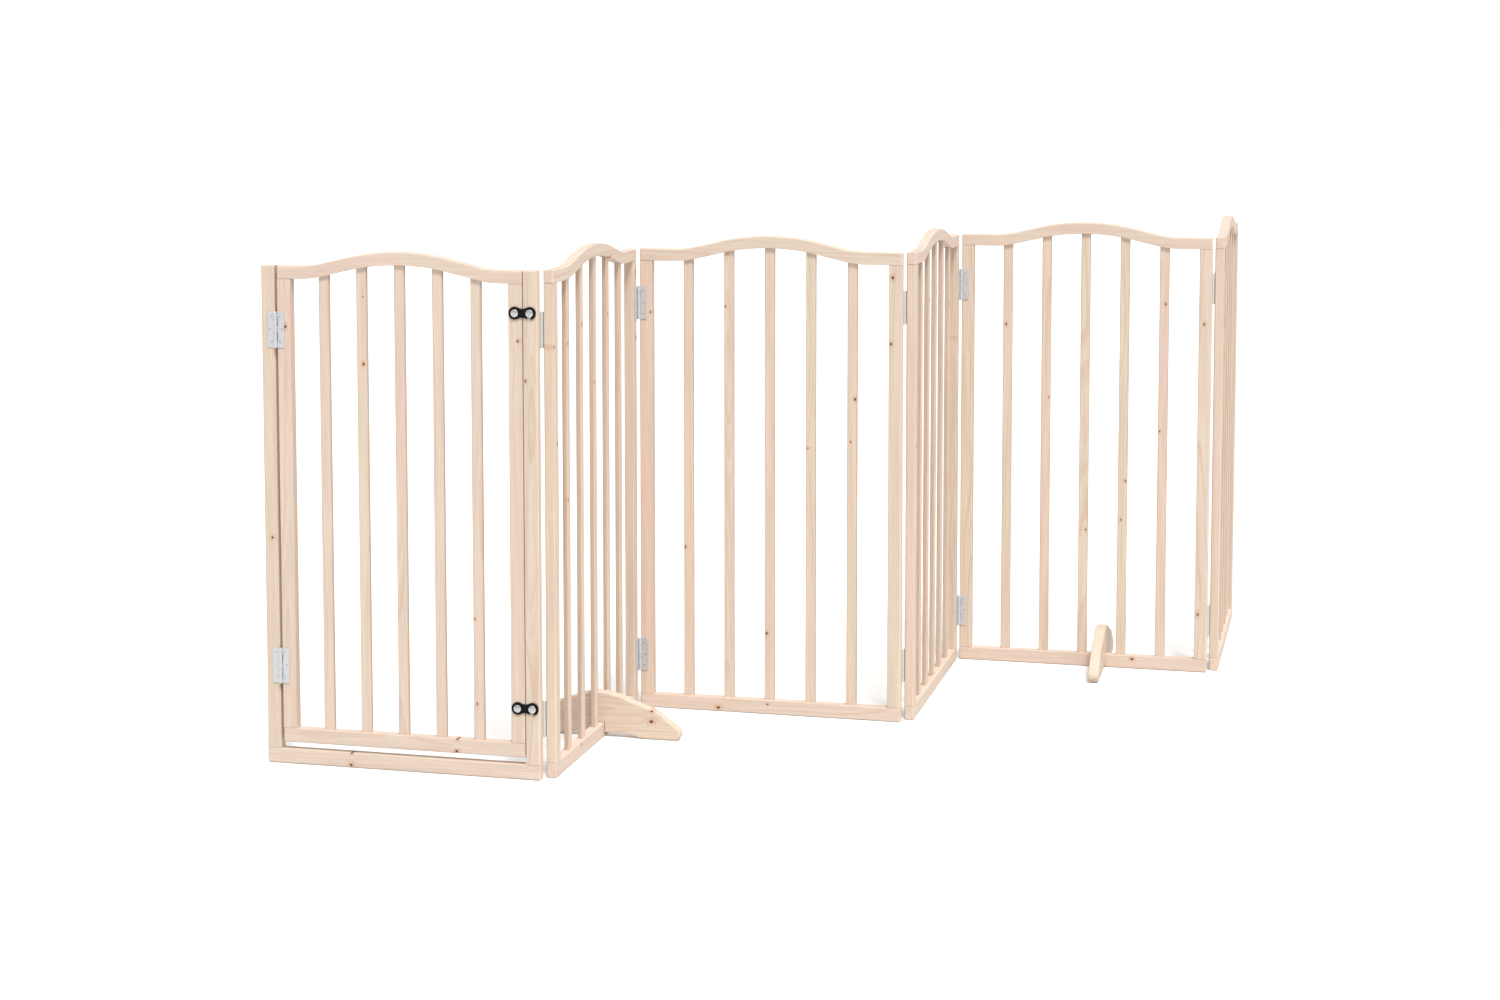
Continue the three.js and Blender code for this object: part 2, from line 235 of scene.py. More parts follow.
def stretched_noise(tree, parts, stretch, detail=2.0, roughness=0.5):
    """Noise on separate coordinates, each drawn out by its own factor."""
    scaled = [calc(tree, "MULTIPLY", part, factor) for part, factor in zip(parts, stretch)]
    vector = add_node(tree, "ShaderNodeCombineXYZ", dict(enumerate(scaled))).outputs[0]
    inputs = {"Vector": vector, "Scale": 1.0, "Detail": detail, "Roughness": roughness}
    return add_node(tree, "ShaderNodeTexNoise", inputs, noise_dimensions="3D")


def new_group(name, inputs, outputs):
    """An empty shader node group with named sockets, and its two end nodes."""
    tree = bpy.data.node_groups.new(name, "ShaderNodeTree")
    for socket, kind in inputs:
        tree.interface.new_socket(name=socket, in_out="INPUT", socket_type=kind)
    for socket, kind in outputs:
        tree.interface.new_socket(name=socket, in_out="OUTPUT", socket_type=kind)
    return tree, tree.nodes.new("NodeGroupInput"), tree.nodes.new("NodeGroupOutput")


def flat_distance(tree, first, second):
    """Length of a flat vector from its two parts."""
    squares = [calc(tree, "MULTIPLY", part, part) for part in (first, second)]
    return calc(tree, "SQRT", calc(tree, "ADD", *squares))


def knot_distance(tree, along, across, knot):
    """Distance from a knot's middle, in knot radii, drawn out along the grain."""
    parts = add_node(tree, "ShaderNodeSeparateXYZ", {0: knot}).outputs
    run = calc(tree, "DIVIDE", calc(tree, "SUBTRACT", along, parts[0]), KNOT_STRETCH)
    side = calc(tree, "SUBTRACT", across, parts[1])
    return calc(tree, "DIVIDE", flat_distance(tree, run, side), parts[2])


def build_softwood_group():
    """Fir timber. Growth rings are circles round a pith beside the board, bent by slow noise and round
    knots; each ring darkens slowly and ends sharply. Fine fibres and broad blushes run along. The
    narrow sides get a painted shade: their colour is made darker and greyer to stand in for shade."""
    inputs = [("Grain", VECTOR), ("Tone", NUMBER), ("Painted Side Shade", NUMBER)]
    inputs += [("Knot One", VECTOR), ("Knot Two", VECTOR)]
    inputs += [("Early Wood", COLOUR), ("Late Wood", COLOUR), ("Blush", COLOUR), ("Ring Contrast", NUMBER)]
    outputs = [("Color", COLOUR), ("Roughness", NUMBER), ("Height", NUMBER)]
    tree, given, result = new_group("Softwood", inputs, outputs)
    along, across, deep = add_node(tree, "ShaderNodeSeparateXYZ", {0: given.outputs["Grain"]}).outputs
    parts = (along, across, deep)

    first = knot_distance(tree, along, across, given.outputs["Knot One"])
    second = knot_distance(tree, along, across, given.outputs["Knot Two"])
    ragged = stretched_noise(tree, parts, (700.0, 700.0, 700.0), 1.0).outputs["Fac"]
    nearest = calc(tree, "MINIMUM", first, second)
    knot = calc(tree, "ADD", nearest, calc(tree, "MULTIPLY", calc(tree, "SUBTRACT", ragged, 0.5), 0.5))
    swelling = ramp_between(tree, nearest, 0.0, 6.0, 1.0, 0.0)

    slow = stretched_noise(tree, parts, (2.2, 16.0, 16.0), 1.5)
    bend = add_node(tree, "ShaderNodeSeparateXYZ", {0: slow.outputs["Color"]}).outputs
    bent_across = calc(tree, "MULTIPLY_ADD", calc(tree, "SUBTRACT", bend[0], 0.5), RING_BEND, across)
    bent_deep = calc(tree, "MULTIPLY_ADD", calc(tree, "SUBTRACT", bend[1], 0.5), RING_BEND, deep)
    reach = calc(tree, "MULTIPLY_ADD", swelling, KNOT_SWELLING, flat_distance(tree, bent_across, bent_deep))
    turns = calc(tree, "DIVIDE", reach, RING_WIDTH)
    year = calc(tree, "FLOOR", turns)
    season = calc(tree, "FRACT", turns)
    rise = ramp_between(tree, season, 0.25, 0.86)
    drop = ramp_between(tree, season, 0.90, 1.0, 1.0, 0.0)
    yearly = add_node(tree, "ShaderNodeTexWhiteNoise", {"W": year}, noise_dimensions="1D").outputs["Value"]
    strength = calc(tree, "MULTIPLY_ADD", yearly, 0.75, 0.25)
    late = calc(tree, "MULTIPLY", calc(tree, "MULTIPLY", rise, drop), strength)

    fibre = stretched_noise(tree, parts, (35.0, 1500.0, 1500.0), 3.0, 0.6).outputs["Fac"]
    streak = stretched_noise(tree, parts, (5.0, 120.0, 120.0), 2.0).outputs["Fac"]
    cloud = stretched_noise(tree, parts, (3.0, 22.0, 22.0), 1.0).outputs["Fac"]

    ring_mix = calc(tree, "MULTIPLY", late, given.outputs["Ring Contrast"])
    colour = mixed(tree, ring_mix, given.outputs["Early Wood"], given.outputs["Late Wood"])
    blushing = calc(tree, "MULTIPLY", ramp_between(tree, cloud, 0.32, 0.66, 0.35, 1.0), given.outputs["Tone"])
    colour = mixed(tree, blushing, colour, given.outputs["Blush"])
    streaked = ramp_between(tree, streak, 0.3, 0.7, -0.05, 0.04)
    shade = calc(tree, "ADD", streaked, ramp_between(tree, fibre, 0.3, 0.7, -0.045, 0.045))
    lightness = calc(tree, "ADD", shade, 1.0)
    grey = add_node(tree, "ShaderNodeCombineXYZ", {0: lightness, 1: lightness, 2: lightness}).outputs[0]
    colour = mixed(tree, 1.0, colour, grey, "MULTIPLY")
    # Painted shade: the narrow sides are multiplied by a darker grey-brown, which stands in for the shade
    # that falls on them; the fibres vary its strength.
    painted_side_shade = calc(tree, "MULTIPLY", given.outputs["Painted Side Shade"], ramp_between(tree, fibre, 0.25, 0.75, 1.0, 0.75))
    colour = mixed(tree, painted_side_shade, colour, (0.80, 0.75, 0.71, 1.0), "MULTIPLY")
    halo = ramp_between(tree, knot, 1.0, 4.2, 0.5, 0.0)
    colour = mixed(tree, halo, colour, (0.58, 0.30, 0.155, 1.0))
    core = ramp_between(tree, knot, 0.8, 1.25, 1.0, 0.0)
    heart = ramp_between(tree, knot, 0.0, 0.9)
    core_colour = mixed(tree, heart, (0.040, 0.016, 0.010, 1.0), (0.155, 0.055, 0.028, 1.0))
    colour = mixed(tree, calc(tree, "MULTIPLY", core, 0.97), colour, core_colour)

    rough = calc(tree, "MULTIPLY_ADD", fibre, 0.14, calc(tree, "MULTIPLY_ADD", late, -0.08, 0.56))
    relief = calc(tree, "MULTIPLY_ADD", late, 0.35, fibre)
    relief = calc(tree, "MULTIPLY_ADD", core, -0.8, relief)
    tree.links.new(colour, result.inputs["Color"])
    tree.links.new(rough, result.inputs["Roughness"])
    tree.links.new(relief, result.inputs["Height"])
    return tree


def build_mottle_group():
    """Fine mottling and handling marks: two sizes of noise on object coordinates, from 0 to 1."""
    inputs = [("Scale", NUMBER), ("Edge", NUMBER)]
    outputs = [("Mottle", NUMBER), ("Wear", NUMBER)]
    tree, given, result = new_group("Mottle and Wear", inputs, outputs)
    place = add_node(tree, "ShaderNodeTexCoord").outputs["Object"]
    inputs = {"Vector": place, "Scale": given.outputs["Scale"], "Detail": 4.0, "Roughness": 0.6}
    fine = add_node(tree, "ShaderNodeTexNoise", inputs).outputs["Fac"]
    broad_scale = calc(tree, "MULTIPLY", given.outputs["Scale"], 0.16)
    inputs = {"Vector": place, "Scale": broad_scale, "Detail": 2.0}
    broad = add_node(tree, "ShaderNodeTexNoise", inputs).outputs["Fac"]
    both = calc(tree, "MULTIPLY_ADD", broad, 0.45, calc(tree, "MULTIPLY", fine, 0.55))
    rubbed = calc(tree, "MULTIPLY", given.outputs["Edge"], ramp_between(tree, broad, 0.35, 0.6))
    tree.links.new(ramp_between(tree, both, 0.3, 0.7), result.inputs["Mottle"])
    tree.links.new(rubbed, result.inputs["Wear"])
    return tree


def new_finish(name):
    """A material with a bare Principled shader, its node tree and that shader."""
    material = bpy.data.materials.new(name)
    material.use_nodes = True
    tree = material.node_tree
    shader = tree.nodes["Principled BSDF"]
    return material, tree, shader


def bump_into(tree, shader, height, strength, depth):
    """Feeds a height into the shader's normal."""
    inputs = {"Height": height, "Strength": strength, "Distance": depth}
    bump = add_node(tree, "ShaderNodeBump", inputs)
    tree.links.new(bump.outputs["Normal"], shader.inputs["Normal"])


def wood_finish(name, early, late, blush, contrast):
    """Raw sanded softwood in one shade, reading each board's own grain, tone and knots."""
    material, tree, shader = new_finish(name)
    shades = {"Early Wood": early, "Late Wood": late, "Blush": blush, "Ring Contrast": contrast}
    group = add_node(tree, "ShaderNodeGroup", shades, node_tree=softwood_group)
    for attribute, socket, output in (
        ("grain", "Grain", "Vector"),
        ("tone", "Tone", "Fac"),
        # Strength of the painted shade on the narrow sides.
        ("painted_side_shade", "Painted Side Shade", "Fac"),
        ("knot_one", "Knot One", "Vector"),
        ("knot_two", "Knot Two", "Vector"),
    ):
        reader = add_node(tree, "ShaderNodeAttribute", attribute_name=attribute)
        tree.links.new(reader.outputs[output], group.inputs[socket])
    tree.links.new(group.outputs["Color"], shader.inputs["Base Color"])
    tree.links.new(group.outputs["Roughness"], shader.inputs["Roughness"])
    shader.inputs["Specular IOR Level"].default_value = 0.35
    bump_into(tree, shader, group.outputs["Height"], 0.35, 0.00025)
    return material


def metal_finish(name, dark, light, worn, metallic, roughness, scale, depth, gloss=0.5):
    """A metal or coated metal: mottled between two colours, rubbed to a third along its edges."""
    material, tree, shader = new_finish(name)
    group = add_node(tree, "ShaderNodeGroup", {"Scale": scale}, node_tree=mottle_group)
    edge = add_node(tree, "ShaderNodeAttribute", attribute_name="edge").outputs["Fac"]
    tree.links.new(edge, group.inputs["Edge"])
    colour = mixed(tree, group.outputs["Mottle"], dark, light)
    colour = mixed(tree, group.outputs["Wear"], colour, worn)
    tree.links.new(colour, shader.inputs["Base Color"])
    shader.inputs["Metallic"].default_value = metallic
    shader.inputs["Specular IOR Level"].default_value = gloss
    rough = ramp_between(tree, group.outputs["Mottle"], 0.0, 1.0, roughness[0], roughness[1])
    tree.links.new(rough, shader.inputs["Roughness"])
    bump_into(tree, shader, group.outputs["Mottle"], 0.3, depth)
    return material


softwood_group = build_softwood_group()
mottle_group = build_mottle_group()

UPRIGHT_WOOD = wood_finish(
    "Upright fir", (0.722, 0.606, 0.486, 1.0), (0.610, 0.435, 0.320, 1.0), (0.728, 0.548, 0.458, 1.0), 0.7
)
RAIL_WOOD = wood_finish(
    "Rail fir", (0.722, 0.602, 0.492, 1.0), (0.610, 0.445, 0.335, 1.0), (0.722, 0.552, 0.468, 1.0), 0.65
)
FOOT_WOOD = wood_finish(
    "Foot fir", (0.715, 0.590, 0.478, 1.0), (0.600, 0.430, 0.320, 1.0), (0.712, 0.540, 0.446, 1.0), 0.65
)
HINGE_ZINC = metal_finish(
    "Hinge zinc", (0.69, 0.70, 0.72, 1.0), (0.76, 0.77, 0.785, 1.0), (0.84, 0.84, 0.85, 1.0),
    metallic=0.65, roughness=(0.34, 0.44), scale=420.0, depth=0.00002,
)
LATCH_BLACK = metal_finish(
    "Latch black", (0.0035, 0.0035, 0.0048, 1.0), (0.0060, 0.0060, 0.0075, 1.0), (0.028, 0.028, 0.031, 1.0),
    metallic=0.0, roughness=(0.42, 0.55), scale=1400.0, depth=0.00003, gloss=0.14,
)
SCREW_STEEL = metal_finish(
    "Screw steel", (0.66, 0.66, 0.67, 1.0), (0.80, 0.80, 0.81, 1.0), (0.90, 0.90, 0.91, 1.0),
    metallic=1.0, roughness=(0.18, 0.28), scale=500.0, depth=0.00001,
)


# ---- Flat sawn and stamped shapes ---------------------------------------------------------------

# A quarter round in shares of its radius, with one point before and one after it: what it has still
# to draw in, how far it has run, and a mark at the first point.
QUARTER = np.linspace(0, math.pi / 2, 5)
TO_GO = np.concatenate(([1], 1 - np.sin(QUARTER), [0]))
GONE = np.concatenate(([0], 1 - np.cos(QUARTER), [1]))
AT_START = (np.arange(len(TO_GO)) == 0).astype(float)


def wall_faces(index, flip=False):
    """Quads between the rows of point numbers of a closed wall."""
    ahead = np.roll(index, -1, 1)
    if flip:
        rows = (index[:-1], ahead[:-1], ahead[1:], index[1:])
    else:
        rows = (index[:-1], index[1:], ahead[1:], ahead[:-1])
    return np.stack(rows, axis=-1).reshape(-1, 4).tolist()


def square_outline(corners, radii, rounds, spacing=None, lift=None, hold=FLAT_HOLD):
    """Outline with right-angled corners. Drawing it in by d moves each side along its own normal and
    changes each corner's radius r to r - d, or r + d in a notch. A corner is a quarter circle,
    corner - in * r (1 - sin t) + out * r (1 - cos t), with a point close before and after it that
    keeps the long faces flat. Returns the ring function and the edge rounding at each point."""
    corners = np.asarray(corners, float)
    count = len(corners)
    radii = np.broadcast_to(np.asarray(radii, float), count)
    rounds = np.broadcast_to(np.asarray(rounds, float), count)
    after = np.roll(corners, -1, 0) - corners
    length = np.linalg.norm(after, axis=1)
    after = after / length[:, None]
    before = np.roll(after, 1, 0)
    normal = np.stack((after[:, 1], -after[:, 0]), axis=1)
    normal_before = np.roll(normal, 1, 0)
    convex = np.sign(before[:, 0] * after[:, 1] - before[:, 1] * after[:, 0])
    size = len(TO_GO)
    inner = np.zeros(count, int) if spacing is None else (length / spacing).astype(int)
    side = np.repeat(np.arange(count), inner)
    step = np.arange(len(side)) - np.repeat(np.cumsum(inner) - inner, inner)
    part = ((step + 1) / (inner[side] + 1))[:, None]
    order = np.argsort(np.concatenate((np.repeat(np.arange(count), size), side + 0.5)), kind="stable")

    def ring(share, extra):
        inset = rounds * share + extra
        inset_before = np.roll(inset, 1)
        place = corners - normal * inset[:, None] - normal_before * inset_before[:, None]
        radius = np.maximum(radii - convex * (inset + inset_before) / 2, LEAST_RADIUS)[:, None]
        step_back = (radius * TO_GO + hold * AT_START)[..., None]
        step_ahead = (radius * GONE + hold * AT_START[::-1])[..., None]
        points = place[:, None] - before[:, None] * step_back + after[:, None] * step_ahead
        first = np.roll(points[:, 0], -1, 0)[side]
        last = points[:, -1][side]
        points = np.vstack((points.reshape(-1, 2), last * (1 - part) + first * part))[order]
        if lift is not None:
            points[:, 1] += lift(points)
        return points

    blend = np.linspace(0, 1, size)
    at_corners = np.roll(rounds, 1)[:, None] * (1 - blend) + rounds[:, None] * blend
    return ring, np.concatenate((at_corners.reshape(-1), rounds[side]))[order]


def outward_normals(outline):
    """Mitred normals of a closed outline: the sum of both side normals over one plus their product."""
    side = np.roll(outline, -1, 0) - outline
    side /= np.linalg.norm(side, axis=1)[:, None]
    after = np.stack((side[:, 1], -side[:, 0]), axis=1)
    before = np.roll(after, 1, 0)
    product = np.sum(before * after, axis=1)
    return (before + after) / (1 + product)[:, None]


def smooth_outline(outline, rounds):
    """A curved outline, drawn in along its own normals."""
    normals = outward_normals(outline)
    rounds = np.broadcast_to(np.asarray(rounds, float), len(outline))

    def ring(share, extra):
        return outline - normals * (rounds * share + extra)[:, None]

    return ring, rounds


def cap_faces(flat, loops):
    """Faces that close a cap. One loop is one face. With holes, the loops are triangulated together
    and a triangle stays if a line from its middle crosses the loops an odd number of times."""
    if len(loops) == 1:
        return [loops[0].tolist()]
    index = np.concatenate(loops)
    corners = flat[index]
    counts = [len(loop) for loop in loops]
    starts = np.cumsum([0] + counts[:-1])
    ahead = np.concatenate([start + np.roll(np.arange(n), -1) for start, n in zip(starts, counts)])
    borders = np.stack((np.arange(len(index)), ahead), axis=1).tolist()
    found = delaunay_2d_cdt([Vector(p) for p in corners], borders, [], 0, TINY)
    source = np.array([first[0] for first in found[3]])
    triangles = source[np.array(found[2])]
    middle = corners[triangles].mean(axis=1)
    x0, z0 = corners.T
    x1, z1 = corners[ahead].T
    spans = (z0 > middle[:, 1:]) != (z1 > middle[:, 1:])
    rise = np.where(z1 == z0, 1.0, z1 - z0)
    crossing = x0 + (middle[:, 1:] - z0) * (x1 - x0) / rise
    inside = np.sum(spans & (crossing > middle[:, :1]), axis=1) % 2 == 1
    triangles = triangles[inside]
    a, b, c = (corners[triangles[:, k]] for k in range(3))
    area = (b[:, 0] - a[:, 0]) * (c[:, 1] - a[:, 1]) - (b[:, 1] - a[:, 1]) * (c[:, 0] - a[:, 0])
    triangles = np.where((area > 0)[:, None], triangles, triangles[:, ::-1])
    return index[triangles].tolist()


def flat_piece(outlines, front, back, back_round=1.0, hold=FLAT_HOLD):
    """A flat piece from y = front to y = back. Every outline is carried through a quarter round at
    the front edge, the straight wall and a quarter round at the back edge: at angle t the ring is
    drawn in by e (1 - sin t) and lies e (1 - cos t) behind the face. The caps close it.
    Outer outlines run anticlockwise seen from the front, holes clockwise."""
    hold_down = hold * AT_START[::-1][:, None]
    worn = np.concatenate(([0], np.sqrt(np.abs(np.sin(2 * QUARTER))), [0]))
    shares = np.concatenate((TO_GO, back_round * TO_GO[::-1]))
    extras = hold * np.concatenate((AT_START, AT_START[::-1]))
    rings = len(shares)
    points, edges, faces, front_loops = [], [], [], []
    start = 0
    for ring, rounds in outlines:
        flat = np.stack([ring(part, extra) for part, extra in zip(shares, extras)])
        near = front + rounds * GONE[:, None] + hold_down
        far = back - (rounds * back_round * GONE[:, None] + hold_down)[::-1]
        place = np.vstack((near, far))
        count = len(rounds)
        index = start + np.arange(rings * count).reshape(rings, count)
        points.append(np.stack((flat[..., 0], place, flat[..., 1]), axis=-1).reshape(-1, 3))
        edges.append(np.repeat(np.concatenate((worn, worn[::-1])), count))
        faces += wall_faces(index)
        front_loops.append(index[0])
        start += rings * count
    points = np.vstack(points)
    front_faces = cap_faces(points[:, [0, 2]], front_loops)
    jump = np.zeros(len(points), int)
    for loop in front_loops:
        jump[loop] = (rings - 1) * len(loop)
    faces += front_faces + [(np.array(face)[::-1] + jump[face[::-1]]).tolist() for face in front_faces]
    return points, faces, np.concatenate(edges)


def round_hole(x, z, radius, steps=28):
    """The outline of a round hole, run clockwise."""
    turn = -np.linspace(0, 2 * math.pi, steps, endpoint=False)
    return np.stack((x + radius * np.cos(turn), z + radius * np.sin(turn)), axis=1)


def arc(x, z, radius, start, end, steps):
    """Points of a circular arc between two angles."""
    turn = np.linspace(start, end, steps)
    return np.stack((x + radius * np.cos(turn), z + radius * np.sin(turn)), axis=1)


def bezier(p0, p1, p2, p3, steps=14):
    """A cubic curve between p0 and p3, pulled towards p1 and p2, without its first point."""
    t = np.linspace(0, 1, steps)[1:, None]
    p0, p1, p2, p3 = (np.asarray(p, float) for p in (p0, p1, p2, p3))
    return (1 - t) ** 3 * p0 + 3 * (1 - t) ** 2 * t * p1 + 3 * (1 - t) * t**2 * p2 + t**3 * p3


def joined(parts):
    """Several shapes as one mesh: points, faces and edge wear with the faces renumbered."""
    points, faces, edges = [], [], []
    start = 0
    for part_points, part_faces, part_edges in parts:
        points.append(part_points)
        edges.append(part_edges)
        faces += [[start + corner for corner in face] for face in part_faces]
        start += len(part_points)
    return np.vstack(points), faces, np.concatenate(edges)


def moved(shape, x=0.0, y=0.0, z=0.0, half_turn=False):
    """A shape turned half round the upright axis when asked, then moved."""
    points, faces, edges = shape
    if half_turn:
        points = points * [-1, -1, 1]
    return points + [x, y, z], faces, edges


# ---- Turned shapes ------------------------------------------------------------------------------


def turned(profile, steps=32):
    """A profile of (radius, height) carried round the upright axis, from its lower end to its upper
    end, with flat caps."""
    profile = np.asarray(profile, float)
    turn = np.linspace(0, 2 * math.pi, steps, endpoint=False)
    ring = np.stack((np.cos(turn), np.sin(turn)), axis=1)
    flat = profile[:, 0][:, None, None] * ring
    height = np.broadcast_to(profile[:, 1][:, None, None], flat.shape[:2] + (1,))
    points = np.concatenate((flat, height), axis=-1)
    count = len(profile)
    index = np.arange(count * steps).reshape(count, steps)
    faces = wall_faces(index, flip=True) + [index[0][::-1].tolist(), index[-1].tolist()]
    return points.reshape(-1, 3), faces, np.zeros(count * steps)


def cross_screw(head_radius, rim, crown, recess, below):
    """A screw whose axis runs along y with its head to the front and its seat at y = 0. The top is a
    square grid drawn out to a disc (x = u sqrt(1 - v^2 / 2) and the same for z), domed by
    rim + crown (1 - r^2.4), with a cross cut into it. below is the (radius, depth) profile behind."""
    half_width, half_length, depth = recess
    w = half_width / head_radius
    length = half_length / head_radius
    wall = 0.035
    half = [0, w, w + wall, (w + length) / 2, length, length + wall]
    half += np.linspace(length + wall, 1, 6)[1:].tolist()
    line = np.array([-value for value in half[:0:-1]] + half)
    u, v = np.meshgrid(line, line)
    x = u * np.sqrt(1 - v**2 / 2)
    z = v * np.sqrt(1 - u**2 / 2)
    radius = np.clip(np.hypot(x, z), 0, 1)
    height = rim + crown * (1 - radius**2.4)
    wide = np.abs(u) <= length + TINY
    tall = np.abs(v) <= length + TINY
    in_cross = (wide & (np.abs(v) <= w + TINY)) | (tall & (np.abs(u) <= w + TINY))
    height = height - depth * in_cross * (1 - 0.5 * radius / length)
    size = len(line)
    top = np.stack((x * head_radius, -height, z * head_radius), axis=-1).reshape(-1, 3)
    index = np.arange(size * size).reshape(size, size)
    quads = np.stack((index[:-1, :-1], index[:-1, 1:], index[1:, 1:], index[1:, :-1]), axis=-1)
    border = np.concatenate((index[0, :-1], index[:-1, -1], index[-1, :0:-1], index[:0:-1, 0]))
    direction = top[border][:, [0, 2]] / head_radius
    below = np.asarray(below, float)
    flat = below[:, 0][:, None, None] * direction
    place = np.broadcast_to(below[:, 1][:, None], flat.shape[:2])
    rings = np.stack((flat[..., 0], place, flat[..., 1]), axis=-1)
    ring_index = size * size + np.arange(rings[..., 0].size).reshape(rings.shape[:2])
    walls = wall_faces(np.vstack((border, ring_index)))
    faces = quads.reshape(-1, 4).tolist() + walls + [ring_index[-1][::-1].tolist()]
    points = np.vstack((top, rings.reshape(-1, 3)))
    return points, faces, np.zeros(len(points))


# ---- Pieces in place ----------------------------------------------------------------------------

# Edges that turn by more than this are drawn sharp.
SHARP_ANGLE = math.radians(38)


def panel_frame(number):
    """Cosine, sine and left end (x, y) of a panel, from the middle of its bottom rail or sill."""
    node = "door_sill" if number == 1 else f"panel_{number}_bars_and_bottom_rail"
    low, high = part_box(node)
    middle = (low + high) / 2 / MM
    lean = math.radians(-45 if number % 2 else 45)
    c = math.cos(lean)
    s = math.sin(lean)
    return c, s, middle.x - c * PANEL_WIDTH / 2, middle.y - s * PANEL_WIDTH / 2


def height_of(node):
    """Height of a node's middle above the floor, in millimetres."""
    low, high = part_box(node)
    return (low.z + high.z) / 2 / MM


def in_gate(points, number):
    """Points given in a panel's frame, in the gate's frame and in metres."""
    c, s, left_x, left_y = panel_frame(number)
    x, y, z = points.T
    return np.stack((left_x + c * x - s * y, left_y + s * x + c * y, z), axis=1) * MM


def make_piece(name, shape, number, finish, nodes, vectors=None, numbers=None):
    """Puts a shape given in a panel's frame into a mesh in the gate's frame, rides it on the body of
    the first CAD node that it stands for, and hides those nodes."""
    points, faces, edges = shape
    mesh = bpy.data.meshes.new(name)
    mesh.from_pydata(in_gate(points, number).tolist(), [], faces)
    mesh.shade_smooth()
    mesh.set_sharp_from_angle(angle=SHARP_ANGLE)
    wear = mesh.attributes.new("edge", "FLOAT", "POINT")
    wear.data.foreach_set("value", edges.astype(np.float32))
    for key, values in (vectors or {}).items():
        attribute = mesh.attributes.new(key, "FLOAT_VECTOR", "POINT")
        attribute.data.foreach_set("vector", np.asarray(values, np.float32).ravel())
    for key, value in (numbers or {}).items():
        attribute = mesh.attributes.new(key, "FLOAT", "POINT")
        attribute.data.foreach_set("value", np.array(np.broadcast_to(value, len(points)), np.float32))
    mesh.materials.append(finish)
    piece = bpy.data.objects.new(name, mesh)
    bpy.context.collection.objects.link(piece)
    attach(piece, body_of(frame["nodes"][nodes[0]])[0])
    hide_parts(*nodes)


# ---- Timber -------------------------------------------------------------------------------------

# Knots worth choosing, as (along, across, radius) from the lower or left end and the board's middle.
# A foot's are along it from its middle.
KNOTS = {
    "door_stile_left_board": ((704.0, 2.5, 1.9),),
    "door_stile_right_board": ((690.0, 4.5, 1.6),),
    "panel_2_stile_left_board": ((716.0, -9.5, 1.6),),
    "panel_2_stile_right_board": ((803.0, 6.0, 2.3), (680.0, 6.0, 2.2)),
    "panel_3_stile_left_board": ((727.0, 9.0, 1.3),),
    "panel_3_stile_right_board": ((801.0, -5.0, 2.2), (679.0, -8.0, 1.9)),
    "panel_5_stile_right_board": ((91.0, -6.0, 1.8), (675.0, -2.0, 1.7)),
    "door_bar_2": ((648.0, 3.0, 1.9), (764.0, 3.5, 0.9)),
    "panel_2_bar_2": ((742.0, 0.0, 1.6),),
    "panel_2_bar_4": ((745.0, 0.0, 1.6),),
    "panel_3_bar_2": ((746.0, -6.5, 1.3),),
    "panel_4_bar_2": ((749.0, 1.0, 1.7),),
    "panel_4_bar_3": ((758.0, 0.0, 1.6),),
    "door_sill_board": ((155.0, -8.0, 2.0), (156.0, 12.5, 1.3)),
    "door_bottom_rail": ((320.0, -8.5, 2.0), (321.0, 12.0, 1.2)),
    "panel_3_bottom_rail": ((152.0, -6.0, 2.4),),
    "panel_5_bottom_rail": ((352.0, 6.5, 2.1),),
    "panel_2_top_rail_board": ((330.0, 9.0, 1.6),),
    "panel_3_top_rail_board": ((156.0, -8.5, 1.7),),
    "foot_2": ((-98.0, -8.0, 2.6), (-99.0, 11.0, 1.6)),
    "foot_5": ((-70.0, -8.0, 2.0),),
}
NO_KNOT = (-9000.0, 0.0, 1.0)


def knots_for(name, length, width, count):
    """Up to two knots as (along, across, radius): the chosen ones, then random ones up to count."""
    places = list(KNOTS.get(name, ()))
    while len(places) < count:
        along = rng.uniform(0.08, 0.92) * length
        across = rng.uniform(-0.38, 0.38) * width
        places.append((along, across, rng.uniform(0.9, 2.0)))
    places += [NO_KNOT, NO_KNOT]
    return places[:2]


def make_timber(name, shape, number, finish, node, along_axis, start, middle, knots, painted_side_shade=0.0, laid=None):
    """A wooden piece. Its grain coordinates are metres along, across and through the board, from a
    pith beside it and from a random place along the tree; knots are kept in the same coordinates.
    The argument before laid gives the strength of the painted shade at each point, a darker colour on
    the narrow sides that stands in for shade, 0 on planed faces. laid, when given, is where the points
    go in the panel's frame in place of the shape's own."""
    points = shape[0]
    across_axis = 2 if along_axis == 0 else 0
    pith_turn = rng.uniform(-1.1, 1.1)
    pith_reach = rng.uniform(28.0, 75.0)
    pith_side = rng.choice([-1.0, 1.0])
    across_pith = pith_reach * math.sin(pith_turn)
    deep_pith = pith_side * pith_reach * math.cos(pith_turn)
    tree_place = rng.uniform(1.0, 40.0)
    grain = np.empty_like(points)
    grain[:, 0] = (points[:, along_axis] - start) * MM + tree_place
    grain[:, 1] = (points[:, across_axis] - middle - across_pith) * MM
    grain[:, 2] = (points[:, 1] - deep_pith) * MM
    vectors = {"grain": grain}
    for key, (along, across, radius) in zip(("knot_one", "knot_two"), knots):
        place = (along * MM + tree_place, (across - across_pith) * MM, radius * MM)
        vectors[key] = np.tile(place, (len(points), 1))
    tone = rng.uniform(0.08, 0.85)
    if laid is not None:
        shape = (laid, *shape[1:])
    make_piece(name, shape, number, finish, [node], vectors, {"tone": tone, "painted_side_shade": painted_side_shade})


